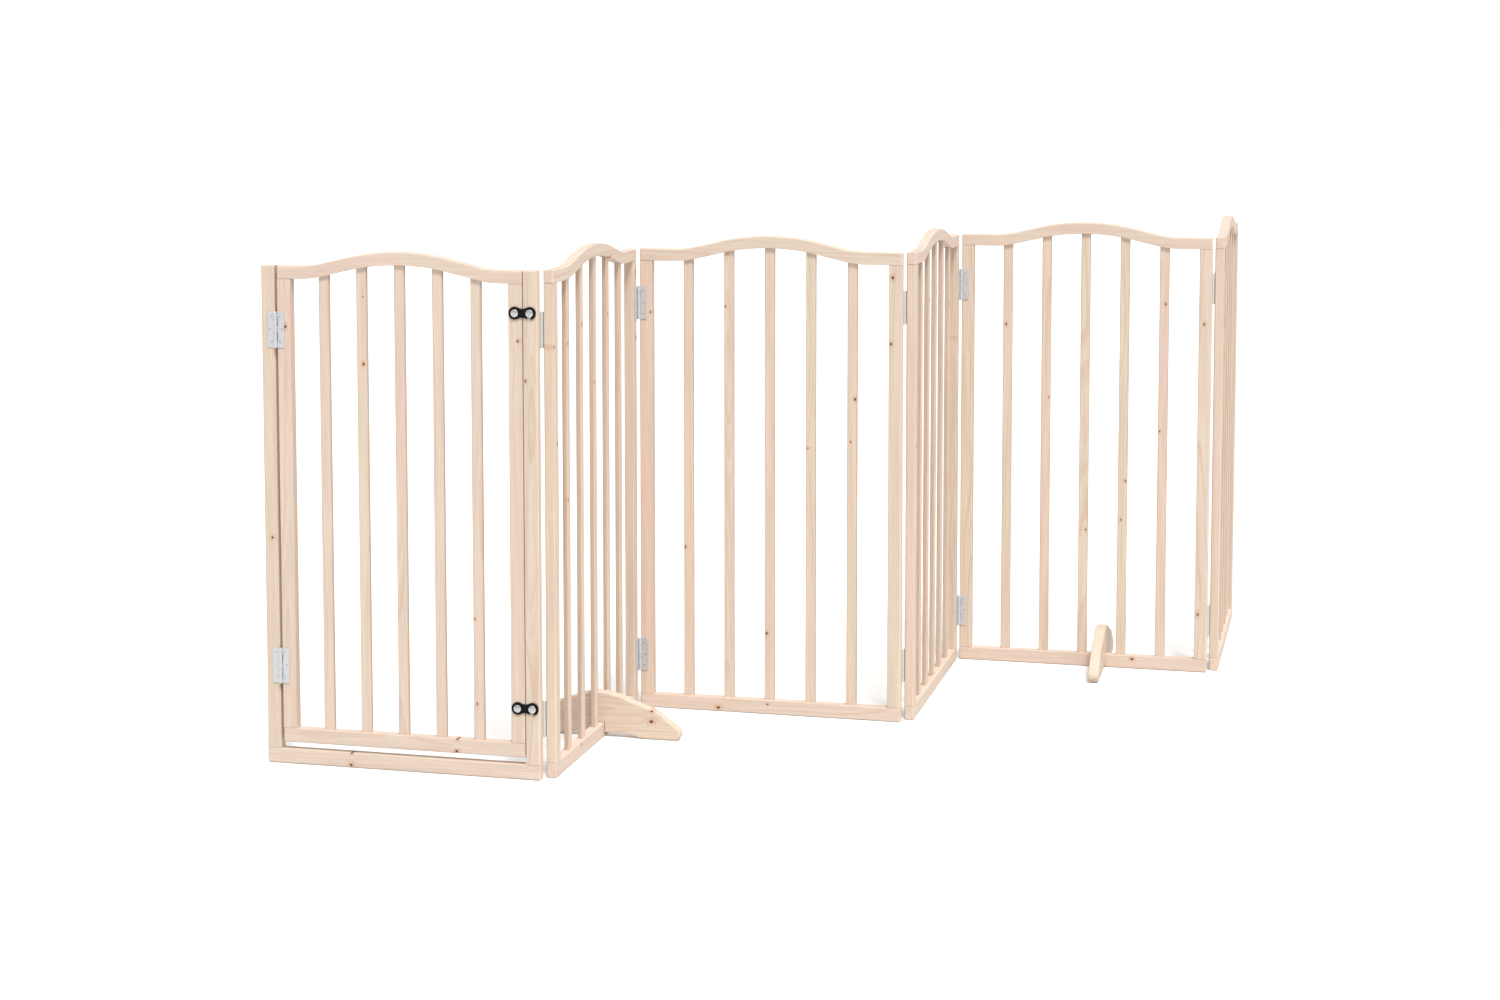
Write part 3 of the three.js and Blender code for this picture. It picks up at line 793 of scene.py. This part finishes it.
def wave_lift(x, middle):
    """Height of the wave above its corners: straight flanks into a round crown, and a short parabola
    where each flank leaves the straight ends."""
    away = np.abs(x - middle)
    climb = WAVE_HALF - away
    fall = math.tan(WAVE_SLOPE)
    knee = fall * np.clip(climb + WAVE_KNEE, 0, None) ** 2 / (4 * WAVE_KNEE)
    crown = WAVE_RISE - CROWN_RADIUS + np.sqrt(CROWN_RADIUS**2 - np.clip(away, 0, CROWN_HALF) ** 2)
    lift = np.where(climb > WAVE_KNEE, fall * climb, knee)
    return np.where(away < CROWN_HALF, crown, lift)


# How much of a bar's painted side shade the inner side of a stile or post has.
STILE_PAINTED_SHADE = 0.45


def corners_of(box):
    """Corners of a (left, right, bottom, top) box, anticlockwise from the lower left."""
    left, right, bottom, top = box
    return [(left, bottom), (right, bottom), (right, top), (left, top)]


def upright(name, number, node, box, edges, thickness=TIMBER, crown=None):
    """A straight upright board that fills a (left, right, bottom, top) box. edges are the roundings
    of its bottom, right, top and left. crown is the middle of the wave that its top end follows. A
    thin bar gets a painted shade on both narrow sides, and a stile or post on the side that faces the
    opening: a darker colour that stands in for shade."""
    left, right, bottom, top = box

    def follow_wave(points):
        high = points[:, 1] > (bottom + top) / 2
        return high * wave_lift(points[:, 0], crown)

    lift = None if crown is None else follow_wave
    outline = square_outline(corners_of(box), UPRIGHT_CORNER, edges, lift=lift)
    shape = flat_piece([outline], -thickness / 2, thickness / 2)
    places = knots_for(name, top - bottom, right - left, rng.choice([0, 1, 1, 2]))
    middle = (left + right) / 2
    # Painted shade: bars darken both narrow sides, stiles and posts the side that faces the opening, to stand
    # in for shade.
    inward = (shape[0][:, 0] - middle) * math.copysign(1, PANEL_WIDTH / 2 - middle)
    shade = STILE_PAINTED_SHADE
    if thickness < TIMBER:
        inward = np.abs(inward)
        shade = 1.0
    painted_side_shade = shade * np.clip(1 - ((right - left) / 2 - inward) / BAR_EDGE, 0, 1)
    make_timber(name, shape, number, UPRIGHT_WOOD, node, 2, bottom, middle, places, painted_side_shade)


def upright_pair(prefix, number, left, right, width, bottom, top, edges):
    """The uprights at both ends of the span from left to right, each with its own roundings."""
    for side, start, rounds in zip(("left", "right"), (left, right - width), edges):
        node = f"{prefix}_{side}"
        upright(f"{node}_board", number, node, (start, start + width, bottom, top), rounds)


def rail(name, number, node, box, edges, wavy=False):
    """A board along the panel. A wavy one is the same board with every point lifted by the wave."""
    left, right, bottom, top = box

    def follow_wave(points):
        return wave_lift(points[:, 0], (left + right) / 2)

    spacing, lift = (WAVE_SPACING, follow_wave) if wavy else (None, None)
    outline = square_outline(corners_of(box), RAIL_CORNER, edges, spacing, lift)
    shape = flat_piece([outline], -HALF_TIMBER, HALF_TIMBER)
    places = knots_for(name, right - left, top - bottom, rng.choice([0, 1, 1, 2]))
    make_timber(name, shape, number, RAIL_WOOD, node, 0, left, (bottom + top) / 2, places)


def bar_places(left, right):
    """Middles of evenly spaced bars between two uprights."""
    space = (right - left - BAR_COUNT * BAR_WIDTH) / (BAR_COUNT + 1)
    return left + space + BAR_WIDTH / 2 + np.arange(BAR_COUNT) * (space + BAR_WIDTH)


def bars(prefix, number, node, left, right, rail_top):
    """Five flat bars let into the bottom rail, with their tops following the wavy rail."""
    bottom = rail_top - BAR_TENON
    top = RAIL_UNDERSIDE - JOINT_GAP
    for count, place in enumerate(bar_places(left + STILE_WIDTH, right - STILE_WIDTH), start=1):
        box = (place - BAR_WIDTH / 2, place + BAR_WIDTH / 2, bottom, top)
        upright(f"{prefix}_bar_{count}", number, node, box, BAR_EDGES, BAR_THICKNESS, (left + right) / 2)


def foot_shape():
    """Outline of a slotted foot, right half then its mirror: slot, low arch, flat sole, round toe,
    and a shoulder that falls in two soft curves from the flat top through a waist to the toe."""
    end = FOOT_LENGTH / 2
    slot_half = HALF_TIMBER + FOOT_SLOT_CLEARANCE
    slot_top = BOTTOM_RAIL_HEIGHT + FOOT_SLOT_CLEARANCE
    toe_x = end - FOOT_TOE_RADIUS
    sole_x = toe_x - FOOT_SOLE_LENGTH
    reach = FOOT_CURVE_REACH
    turn = FOOT_TOE_TURN
    along_toe = np.array([-math.sin(turn), math.cos(turn)]) * reach
    along_waist = np.array([math.cos(FOOT_WAIST_FALL), -math.sin(FOOT_WAIST_FALL)]) * reach
    toe_top = np.array([toe_x + FOOT_TOE_RADIUS * math.cos(turn), FOOT_TOE_RADIUS * (1 + math.sin(turn))])
    waist = np.array(FOOT_WAIST)
    top = np.array([FOOT_TOP_HALF, FOOT_HEIGHT])
    arch = np.array([FOOT_ARCH_FLAT, FOOT_ARCH_HEIGHT])
    half = np.vstack(
        (
            [(slot_half, slot_top), (slot_half, slot_top - FOOT_SLOT_STEP)],
            [(slot_half, FOOT_ARCH_HEIGHT + FOOT_SLOT_STEP), (slot_half, FOOT_ARCH_HEIGHT)],
            [(slot_half + FOOT_SLOT_STEP, FOOT_ARCH_HEIGHT), arch],
            bezier(arch, arch + [reach, 0], (sole_x - reach, 0), (sole_x, 0)),
            arc(toe_x, FOOT_TOE_RADIUS, FOOT_TOE_RADIUS, -math.pi / 2, turn, 12),
            bezier(toe_top, toe_top + along_toe, waist + along_waist, waist, 18),
            bezier(waist, waist - along_waist, top + [reach, 0], top, 18),
        )
    )
    mirror = half[::-1] * [-1, 1]
    outline = np.vstack((half, mirror))
    rounds = np.full(len(outline), FOOT_EDGE)
    beside_slot = np.abs(outline[:, 0]) <= slot_half + FOOT_SLOT_STEP + 0.5
    rounds[beside_slot & (outline[:, 1] <= slot_top + 0.1)] = FOOT_SLOT_EDGE
    return flat_piece([smooth_outline(outline, rounds)], -FOOT_THICKNESS / 2, FOOT_THICKNESS / 2)


def make_foot(number):
    """A foot laid across its panel's bottom rail between the third and fourth bars, with its grain
    running along it."""
    shape = foot_shape()
    x, y, z = shape[0].T
    places = bar_places(STILE_WIDTH, PANEL_WIDTH - STILE_WIDTH)
    laid = np.stack(((places[2] + places[3]) / 2 - y, x, z), axis=1)
    name = f"foot_{number}"
    knots = knots_for(name, FOOT_LENGTH, FOOT_HEIGHT, 0)
    node = f"foot_on_panel_{number}"
    make_timber(name, shape, number, FOOT_WOOD, node, 0, 0.0, FOOT_HEIGHT / 2, knots, laid=laid)


# ---- Hinges -------------------------------------------------------------------------------------

HINGE_SCREW_PLACES = ((7.3, -22.0), (11.0, 0.0), (7.3, 22.0))
HINGE_SCREW_RADIUS = 2.35
HINGE_HOLE_RADIUS = 1.8
HINGE_HOLE_ROUND = 0.65
HINGE_PLATE_ROUND = 0.2
LEAF_CORNER = 1.8
NOTCH_CORNER = 0.25
TAB_CORNER = 0.15
TAB_START = 0.15
PIN_HEAD_RADIUS = 1.95
ROLL_START = math.radians(90)
ROLL_END = math.radians(388)
ROLL_GAP = 0.4


def knuckle_spans(carries_pin):
    """Lower and upper ends of the knuckles of one leaf."""
    pitch = HINGE_LENGTH / KNUCKLE_COUNT
    first = np.arange(0 if carries_pin else 1, KNUCKLE_COUNT, 2)
    low = -HINGE_LENGTH / 2 + first * pitch + np.where(first > 0, KNUCKLE_GAP / 2, 0)
    high = -HINGE_LENGTH / 2 + (first + 1) * pitch - np.where(first < KNUCKLE_COUNT - 1, KNUCKLE_GAP / 2, 0)
    return list(zip(low, high))


def leaf_plate(spans):
    """The stamped plate of a leaf that reaches to +x, with a tab at each knuckle and round
    countersunk holes. The pin is the z axis and the wood lies towards +y."""
    inner = KNUCKLE_RADIUS + NOTCH_CLEARANCE
    half = HINGE_LENGTH / 2
    corners = [(HINGE_LEAF_WIDTH, -half, LEAF_CORNER), (HINGE_LEAF_WIDTH, half, LEAF_CORNER)]
    at = half
    for low, high in spans[::-1]:
        if high < at - TINY and at == half:
            corners.append((inner, half, NOTCH_CORNER))
        if high < at - TINY:
            corners.append((inner, high, NOTCH_CORNER))
        corners += [(TAB_START, high, TAB_CORNER), (TAB_START, low, TAB_CORNER)]
        if low > -half + TINY:
            corners.append((inner, low, NOTCH_CORNER))
        at = low
    if at > -half + TINY:
        corners.append((inner, -half, NOTCH_CORNER))
    corners = np.array(corners)
    outlines = [square_outline(corners[:, :2], corners[:, 2], HINGE_PLATE_ROUND, hold=STEEL_HOLD)]
    for x, z in HINGE_SCREW_PLACES:
        outlines.append(smooth_outline(round_hole(x, z, HINGE_HOLE_RADIUS), HINGE_HOLE_ROUND))
    return flat_piece(outlines, KNUCKLE_RADIUS - LEAF_THICKNESS, KNUCKLE_RADIUS, 0.3, STEEL_HOLD)


def rolled_knuckle(low, high):
    """A knuckle: the plate's thickness carried once round the pin, as a section in x and y drawn up
    from low to high."""
    bore = KNUCKLE_RADIUS - LEAF_THICKNESS
    outer = arc(0, 0, KNUCKLE_RADIUS, ROLL_START, ROLL_END, 30)
    inner = arc(0, 0, bore, ROLL_END, ROLL_START, 26)
    start = [(ROLL_GAP, bore), (ROLL_GAP, KNUCKLE_RADIUS)]
    outline = smooth_outline(np.vstack((outer, inner, start)), HINGE_PLATE_ROUND)
    points, faces, edges = flat_piece([outline], -high, -low, hold=STEEL_HOLD)
    return points[:, [0, 2, 1]] * [1, 1, -1], faces, edges


def hinge_pin():
    """The pin through the knuckles, with a low domed head at each end."""
    seat = HINGE_LENGTH / 2
    turn = np.linspace(math.radians(12), math.radians(90), 5)
    bulge = np.stack((PIN_HEAD_RADIUS * np.sin(turn), PIN_HEAD_HEIGHT * np.cos(turn)), axis=1)
    upper = bulge[::-1] + [0, seat]
    lower = bulge * [1, -1] - [0, seat]
    profile = np.vstack((lower, [(PIN_RADIUS, -seat), (PIN_RADIUS, seat)], upper))
    return turned(profile, 24)


def hinge_screw():
    """A small countersunk screw with a cross recess, flush with the leaf."""
    below = [(HINGE_SCREW_RADIUS, -0.05), (1.6, 0.75), (1.2, LEAF_THICKNESS)]
    return cross_screw(HINGE_SCREW_RADIUS, 0.08, 0.28, (0.35, 1.45, 0.5), below)


def make_leaf(node, number, pin_x, on_back, side, carries_pin):
    """One leaf of a butt hinge with its screws, on a panel's front or back face."""
    reach = -side if on_back else side
    spans = knuckle_spans(carries_pin)
    steel = joined([leaf_plate(spans)] + [rolled_knuckle(low, high) for low, high in spans])
    screws = joined(
        [moved(hinge_screw(), x, KNUCKLE_RADIUS - LEAF_THICKNESS, z) for x, z in HINGE_SCREW_PLACES]
    )
    pieces = [(node, steel, HINGE_ZINC), (f"{node}_screws", screws, SCREW_STEEL)]
    if carries_pin:
        pieces.append((f"{node}_pin", hinge_pin(), SCREW_STEEL))
    y = PIN_OFFSET if on_back else -PIN_OFFSET
    for name, (points, faces, edges), finish in pieces:
        if reach < 0:
            points = points * [-1, 1, 1]
            faces = [face[::-1] for face in faces]
        shape = moved((points, faces, edges), pin_x, y, height_of(node), on_back)
        make_piece(f"{name}_steel" if name == node else name, shape, number, finish, [node])


# ---- Latches ------------------------------------------------------------------------------------


def hook_shape():
    """A latch plate: a closed ring at the pivot, a waisted neck of two hollow arcs, and a ring whose
    throat follows the catch screw's path round the pivot and opens downwards, where the neck meets
    the ring."""
    half = HOOK_SPACING / 2
    waist = HOOK_RING_RADIUS - HOOK_NECK_HALF
    neck_radius = (half**2 + HOOK_NECK_HALF**2 - HOOK_RING_RADIUS**2) / (2 * waist)
    neck_middle = HOOK_NECK_HALF + neck_radius
    lean = math.atan2(neck_middle, half)
    ring = HOOK_RING_RADIUS
    slot = LATCH_SCREW_RADIUS + THROAT_CLEARANCE
    reach = HOOK_SPACING
    inner = reach - slot
    outer = reach + slot
    inner_turn, outer_turn = (
        math.acos((radius**2 + reach**2 - ring**2) / (2 * radius * reach)) for radius in (inner, outer)
    )
    outer_mouth = np.array([outer * math.cos(outer_turn), -outer * math.sin(outer_turn)])
    outer_angle = math.atan2(outer_mouth[1], outer_mouth[0] - reach)
    outline = np.vstack(
        (
            arc(0, 0, ring, lean, 2 * math.pi - lean, 44),
            arc(half, -neck_middle, neck_radius, math.pi - lean, lean, 9)[1:-1],
            arc(0, 0, inner, -inner_turn, 0, 10)[:-1],
            arc(reach, 0, slot, math.pi, 0, 16),
            arc(0, 0, outer, 0, -outer_turn, 10)[1:-1],
            arc(reach, 0, ring, outer_angle, math.pi - lean, 30),
            arc(half, neck_middle, neck_radius, 2 * math.pi - lean, math.pi + lean, 9)[1:-1],
        )
    )
    pivot = round_hole(0, 0, LATCH_SCREW_RADIUS + SCREW_HOLE_CLEARANCE)
    outlines = [smooth_outline(outline, 0.5), smooth_outline(pivot, 0.2)]
    return flat_piece(outlines, HOOK_FRONT, HOOK_BACK, hold=STEEL_HOLD)


def latch_screw_shape():
    """A pan-head screw: a domed head with a cross recess, and its shank behind."""
    shank_end = LATCH_SCREW_DEPTH - HALF_TIMBER
    below = [
        (LATCH_HEAD_RADIUS, -0.9),
        (LATCH_HEAD_RADIUS - 0.1, -0.3),
        (LATCH_HEAD_RADIUS - 0.5, 0.0),
        (LATCH_SCREW_RADIUS, 0.0),
        (LATCH_SCREW_RADIUS, shank_end - HEAD_BACK - 1.5),
        (0.6, shank_end - HEAD_BACK),
    ]
    crown = LATCH_HEAD_HEIGHT - 1.15
    shape = cross_screw(LATCH_HEAD_RADIUS, 1.15, crown, (0.75, 3.1, 1.3), below)
    return moved(shape, 0, HEAD_BACK, 0)


def make_latch(level, pivot_x, catch_x):
    """One hook latch with its two screws."""
    z = height_of(f"latch_{level}_pivot_screw")
    node = f"latch_{level}_hook"
    make_piece(f"{node}_plate", moved(hook_shape(), pivot_x, 0, z), 1, LATCH_BLACK, [node])
    for part, x in (("pivot", pivot_x), ("catch", catch_x)):
        node = f"latch_{level}_{part}_screw"
        make_piece(f"{node}_steel", moved(latch_screw_shape(), x, 0, z), 1, SCREW_STEEL, [node])


# ---- The gate -----------------------------------------------------------------------------------


def make_door_panel():
    """Posts on a sill, and the door between them on two hinges and two latches."""
    left = POST_WIDTH + DOOR_HINGE_GAP
    right = PANEL_WIDTH - POST_WIDTH - DOOR_LATCH_GAP
    bottom = BOTTOM_RAIL_HEIGHT + DOOR_FLOOR_GAP
    rail_top = bottom + DOOR_BOTTOM_RAIL_HEIGHT
    post_bottom = BOTTOM_RAIL_HEIGHT + JOINT_GAP
    stile_bottom = rail_top + JOINT_GAP
    stile_top = RAIL_UNDERSIDE - JOINT_GAP
    sill_edges = (OPEN_EDGE, OPEN_EDGE, SILL_TOP_EDGE, OPEN_EDGE)
    rail("door_sill_board", 1, "door_sill", (0, PANEL_WIDTH, 0, BOTTOM_RAIL_HEIGHT), sill_edges)
    edges = (
        (JOINT_EDGE, HINGE_SIDE_EDGE, OPEN_EDGE, OPEN_EDGE),
        (JOINT_EDGE, OPEN_EDGE, OPEN_EDGE, LATCH_SIDE_EDGE),
    )
    upright_pair("door_post", 1, 0.0, PANEL_WIDTH, POST_WIDTH, post_bottom, CORNER_HEIGHT, edges)
    edges = (
        (JOINT_EDGE, DOOR_INNER_EDGE, JOINT_EDGE, HINGE_SIDE_EDGE),
        (JOINT_EDGE, LATCH_SIDE_EDGE, JOINT_EDGE, DOOR_INNER_EDGE),
    )
    upright_pair("door_stile", 1, left, right, STILE_WIDTH, stile_bottom, stile_top, edges)
    node = "door_bars_and_bottom_rail"
    rail("door_bottom_rail", 1, node, (left, right, bottom, rail_top), BOTTOM_RAIL_EDGES)
    bars("door", 1, node, left, right, rail_top)
    box = (left, right, RAIL_UNDERSIDE, CORNER_HEIGHT)
    rail("door_top_rail_board", 1, "door_top_rail", box, TOP_RAIL_EDGES, wavy=True)
    pin_x = POST_WIDTH + DOOR_HINGE_GAP / 2
    for level in ("upper", "lower"):
        make_leaf(f"door_hinge_{level}_post_leaf", 1, pin_x, False, -1, False)
        make_leaf(f"door_hinge_{level}_door_leaf", 1, pin_x, False, 1, True)
        make_latch(level, right - STILE_WIDTH / 2, PANEL_WIDTH - POST_WIDTH / 2)


def make_bar_panel(number):
    """A plain panel: full-width rails with two stiles and five bars between them."""
    name = f"panel_{number}"
    bottom = BOTTOM_RAIL_HEIGHT + JOINT_GAP
    top = RAIL_UNDERSIDE - JOINT_GAP
    edges = (
        (JOINT_EDGE, STILE_INNER_EDGE, JOINT_EDGE, OPEN_EDGE),
        (JOINT_EDGE, OPEN_EDGE, JOINT_EDGE, STILE_INNER_EDGE),
    )
    upright_pair(f"{name}_stile", number, 0.0, PANEL_WIDTH, STILE_WIDTH, bottom, top, edges)
    node = f"{name}_bars_and_bottom_rail"
    box = (0, PANEL_WIDTH, 0, BOTTOM_RAIL_HEIGHT)
    rail(f"{name}_bottom_rail", number, node, box, BOTTOM_RAIL_EDGES)
    bars(name, number, node, 0, PANEL_WIDTH, BOTTOM_RAIL_HEIGHT)
    box = (0, PANEL_WIDTH, RAIL_UNDERSIDE, CORNER_HEIGHT)
    rail(f"{name}_top_rail_board", number, f"{name}_top_rail", box, TOP_RAIL_EDGES, wavy=True)


def make_fold_hinges(number):
    """Two butt hinges between a panel and the next: behind the odd folds, in front of the even."""
    on_back = number % 2 == 1
    for level in ("upper", "lower"):
        node = f"fold_hinge_{number}_{number + 1}_{level}"
        make_leaf(f"{node}_left_leaf", number, PANEL_WIDTH + PANEL_GAP / 2, on_back, -1, on_back)
        make_leaf(f"{node}_right_leaf", number + 1, -PANEL_GAP / 2, on_back, 1, not on_back)


make_door_panel()
for panel in range(2, PANEL_COUNT + 1):
    make_bar_panel(panel)
for fold in range(1, PANEL_COUNT):
    make_fold_hinges(fold)
for panel in FOOT_PANELS:
    make_foot(panel)


# ---- Studio -------------------------------------------------------------------------------------

CAMERA_PLACE = (-2.679, -4.044, 1.236)
CAMERA_TURN = math.radians(31.2)
CAMERA_TILT = math.radians(4.92)
CAMERA_LENS = 61.75
CAMERA_SHIFT = -0.15

FLOOR_REACH = 40.0
FLOOR_HEIGHT = -0.0004
FLOOR_SIDES = 96
FLOOR_RINGS = 12
WORLD_STRENGTH = 0.54


def make_floor():
    """A wide, pale, matt floor: a disc of rings whose spacing grows outwards. It sends less light
    back up to the gate than it shows, as a floor under overhead lamps does."""
    turn = np.linspace(0, 2 * math.pi, FLOOR_SIDES, endpoint=False)
    reach = FLOOR_REACH * np.linspace(0.02, 1, FLOOR_RINGS) ** 2
    flat = reach[:, None, None] * np.stack((np.cos(turn), np.sin(turn)), axis=1)
    points = np.concatenate((flat, np.full(flat.shape[:2] + (1,), FLOOR_HEIGHT)), axis=-1)
    index = np.arange(FLOOR_RINGS * FLOOR_SIDES).reshape(FLOOR_RINGS, FLOOR_SIDES)
    mesh = bpy.data.meshes.new("floor")
    mesh.from_pydata(points.reshape(-1, 3).tolist(), [], wall_faces(index) + [index[0].tolist()])
    material, tree, shader = new_finish("Pale floor")
    group = add_node(tree, "ShaderNodeGroup", {"Scale": 6.0, "Edge": 0.0}, node_tree=mottle_group)
    tint = mixed(tree, group.outputs["Mottle"], (0.86, 0.86, 0.855, 1.0), (0.88, 0.88, 0.876, 1.0))
    seen = add_node(tree, "ShaderNodeLightPath").outputs["Is Camera Ray"]
    tint = mixed(tree, seen, (0.66, 0.66, 0.66, 1.0), tint)
    tree.links.new(tint, shader.inputs["Base Color"])
    tree.links.new(seen, shader.inputs["Emission Color"])
    shader.inputs["Emission Strength"].default_value = 0.16
    shader.inputs["Roughness"].default_value = 0.9
    shader.inputs["Specular IOR Level"].default_value = 0.1
    mesh.materials.append(material)
    floor = bpy.data.objects.new("floor", mesh)
    bpy.context.collection.objects.link(floor)


def make_light(name, strength, angle, turn, height, colour):
    """A soft distant light from a bearing (degrees, 0 from the front) and a height above the floor."""
    data = bpy.data.lights.new(name, "SUN")
    data.energy = strength
    data.angle = math.radians(angle)
    data.color = colour
    light = bpy.data.objects.new(name, data)
    bearing = math.radians(turn)
    rise = math.radians(height)
    flat = math.cos(rise)
    towards = Vector((math.sin(bearing) * flat, -math.cos(bearing) * flat, math.sin(rise)))
    light.rotation_euler = towards.to_track_quat("Z", "Y").to_euler()
    light.location = towards * 6
    bpy.context.collection.objects.link(light)


def make_studio():
    """Camera, lights and world. The world lights the gate evenly and shows plain white behind it."""
    camera_data = bpy.data.cameras.new("camera")
    camera_data.lens = CAMERA_LENS
    camera_data.sensor_width = 36.0
    camera_data.shift_y = CAMERA_SHIFT
    camera_data.clip_end = 200.0
    camera = bpy.data.objects.new("camera", camera_data)
    camera.location = CAMERA_PLACE
    camera.rotation_euler = (math.pi / 2 - CAMERA_TILT, 0.0, -CAMERA_TURN)
    bpy.context.collection.objects.link(camera)
    scene = bpy.context.scene
    scene.camera = camera
    world = bpy.data.worlds.new("studio")
    world.use_nodes = True
    background = world.node_tree.nodes["Background"]
    background.inputs["Color"].default_value = (1.0, 1.0, 1.0, 1.0)
    seen = add_node(world.node_tree, "ShaderNodeLightPath").outputs["Is Camera Ray"]
    strength = calc(world.node_tree, "MULTIPLY_ADD", seen, 1.0 - WORLD_STRENGTH, WORLD_STRENGTH)
    world.node_tree.links.new(strength, background.inputs["Strength"])
    scene.world = world
    make_light("key", strength=2.78, angle=15.0, turn=-18.0, height=60.0, colour=(1.0, 0.99, 0.975))
    make_light("fill", strength=0.85, angle=50.0, turn=50.0, height=45.0, colour=(0.98, 0.99, 1.0))
    scene.view_settings.view_transform = "Standard"


make_floor()
make_studio()
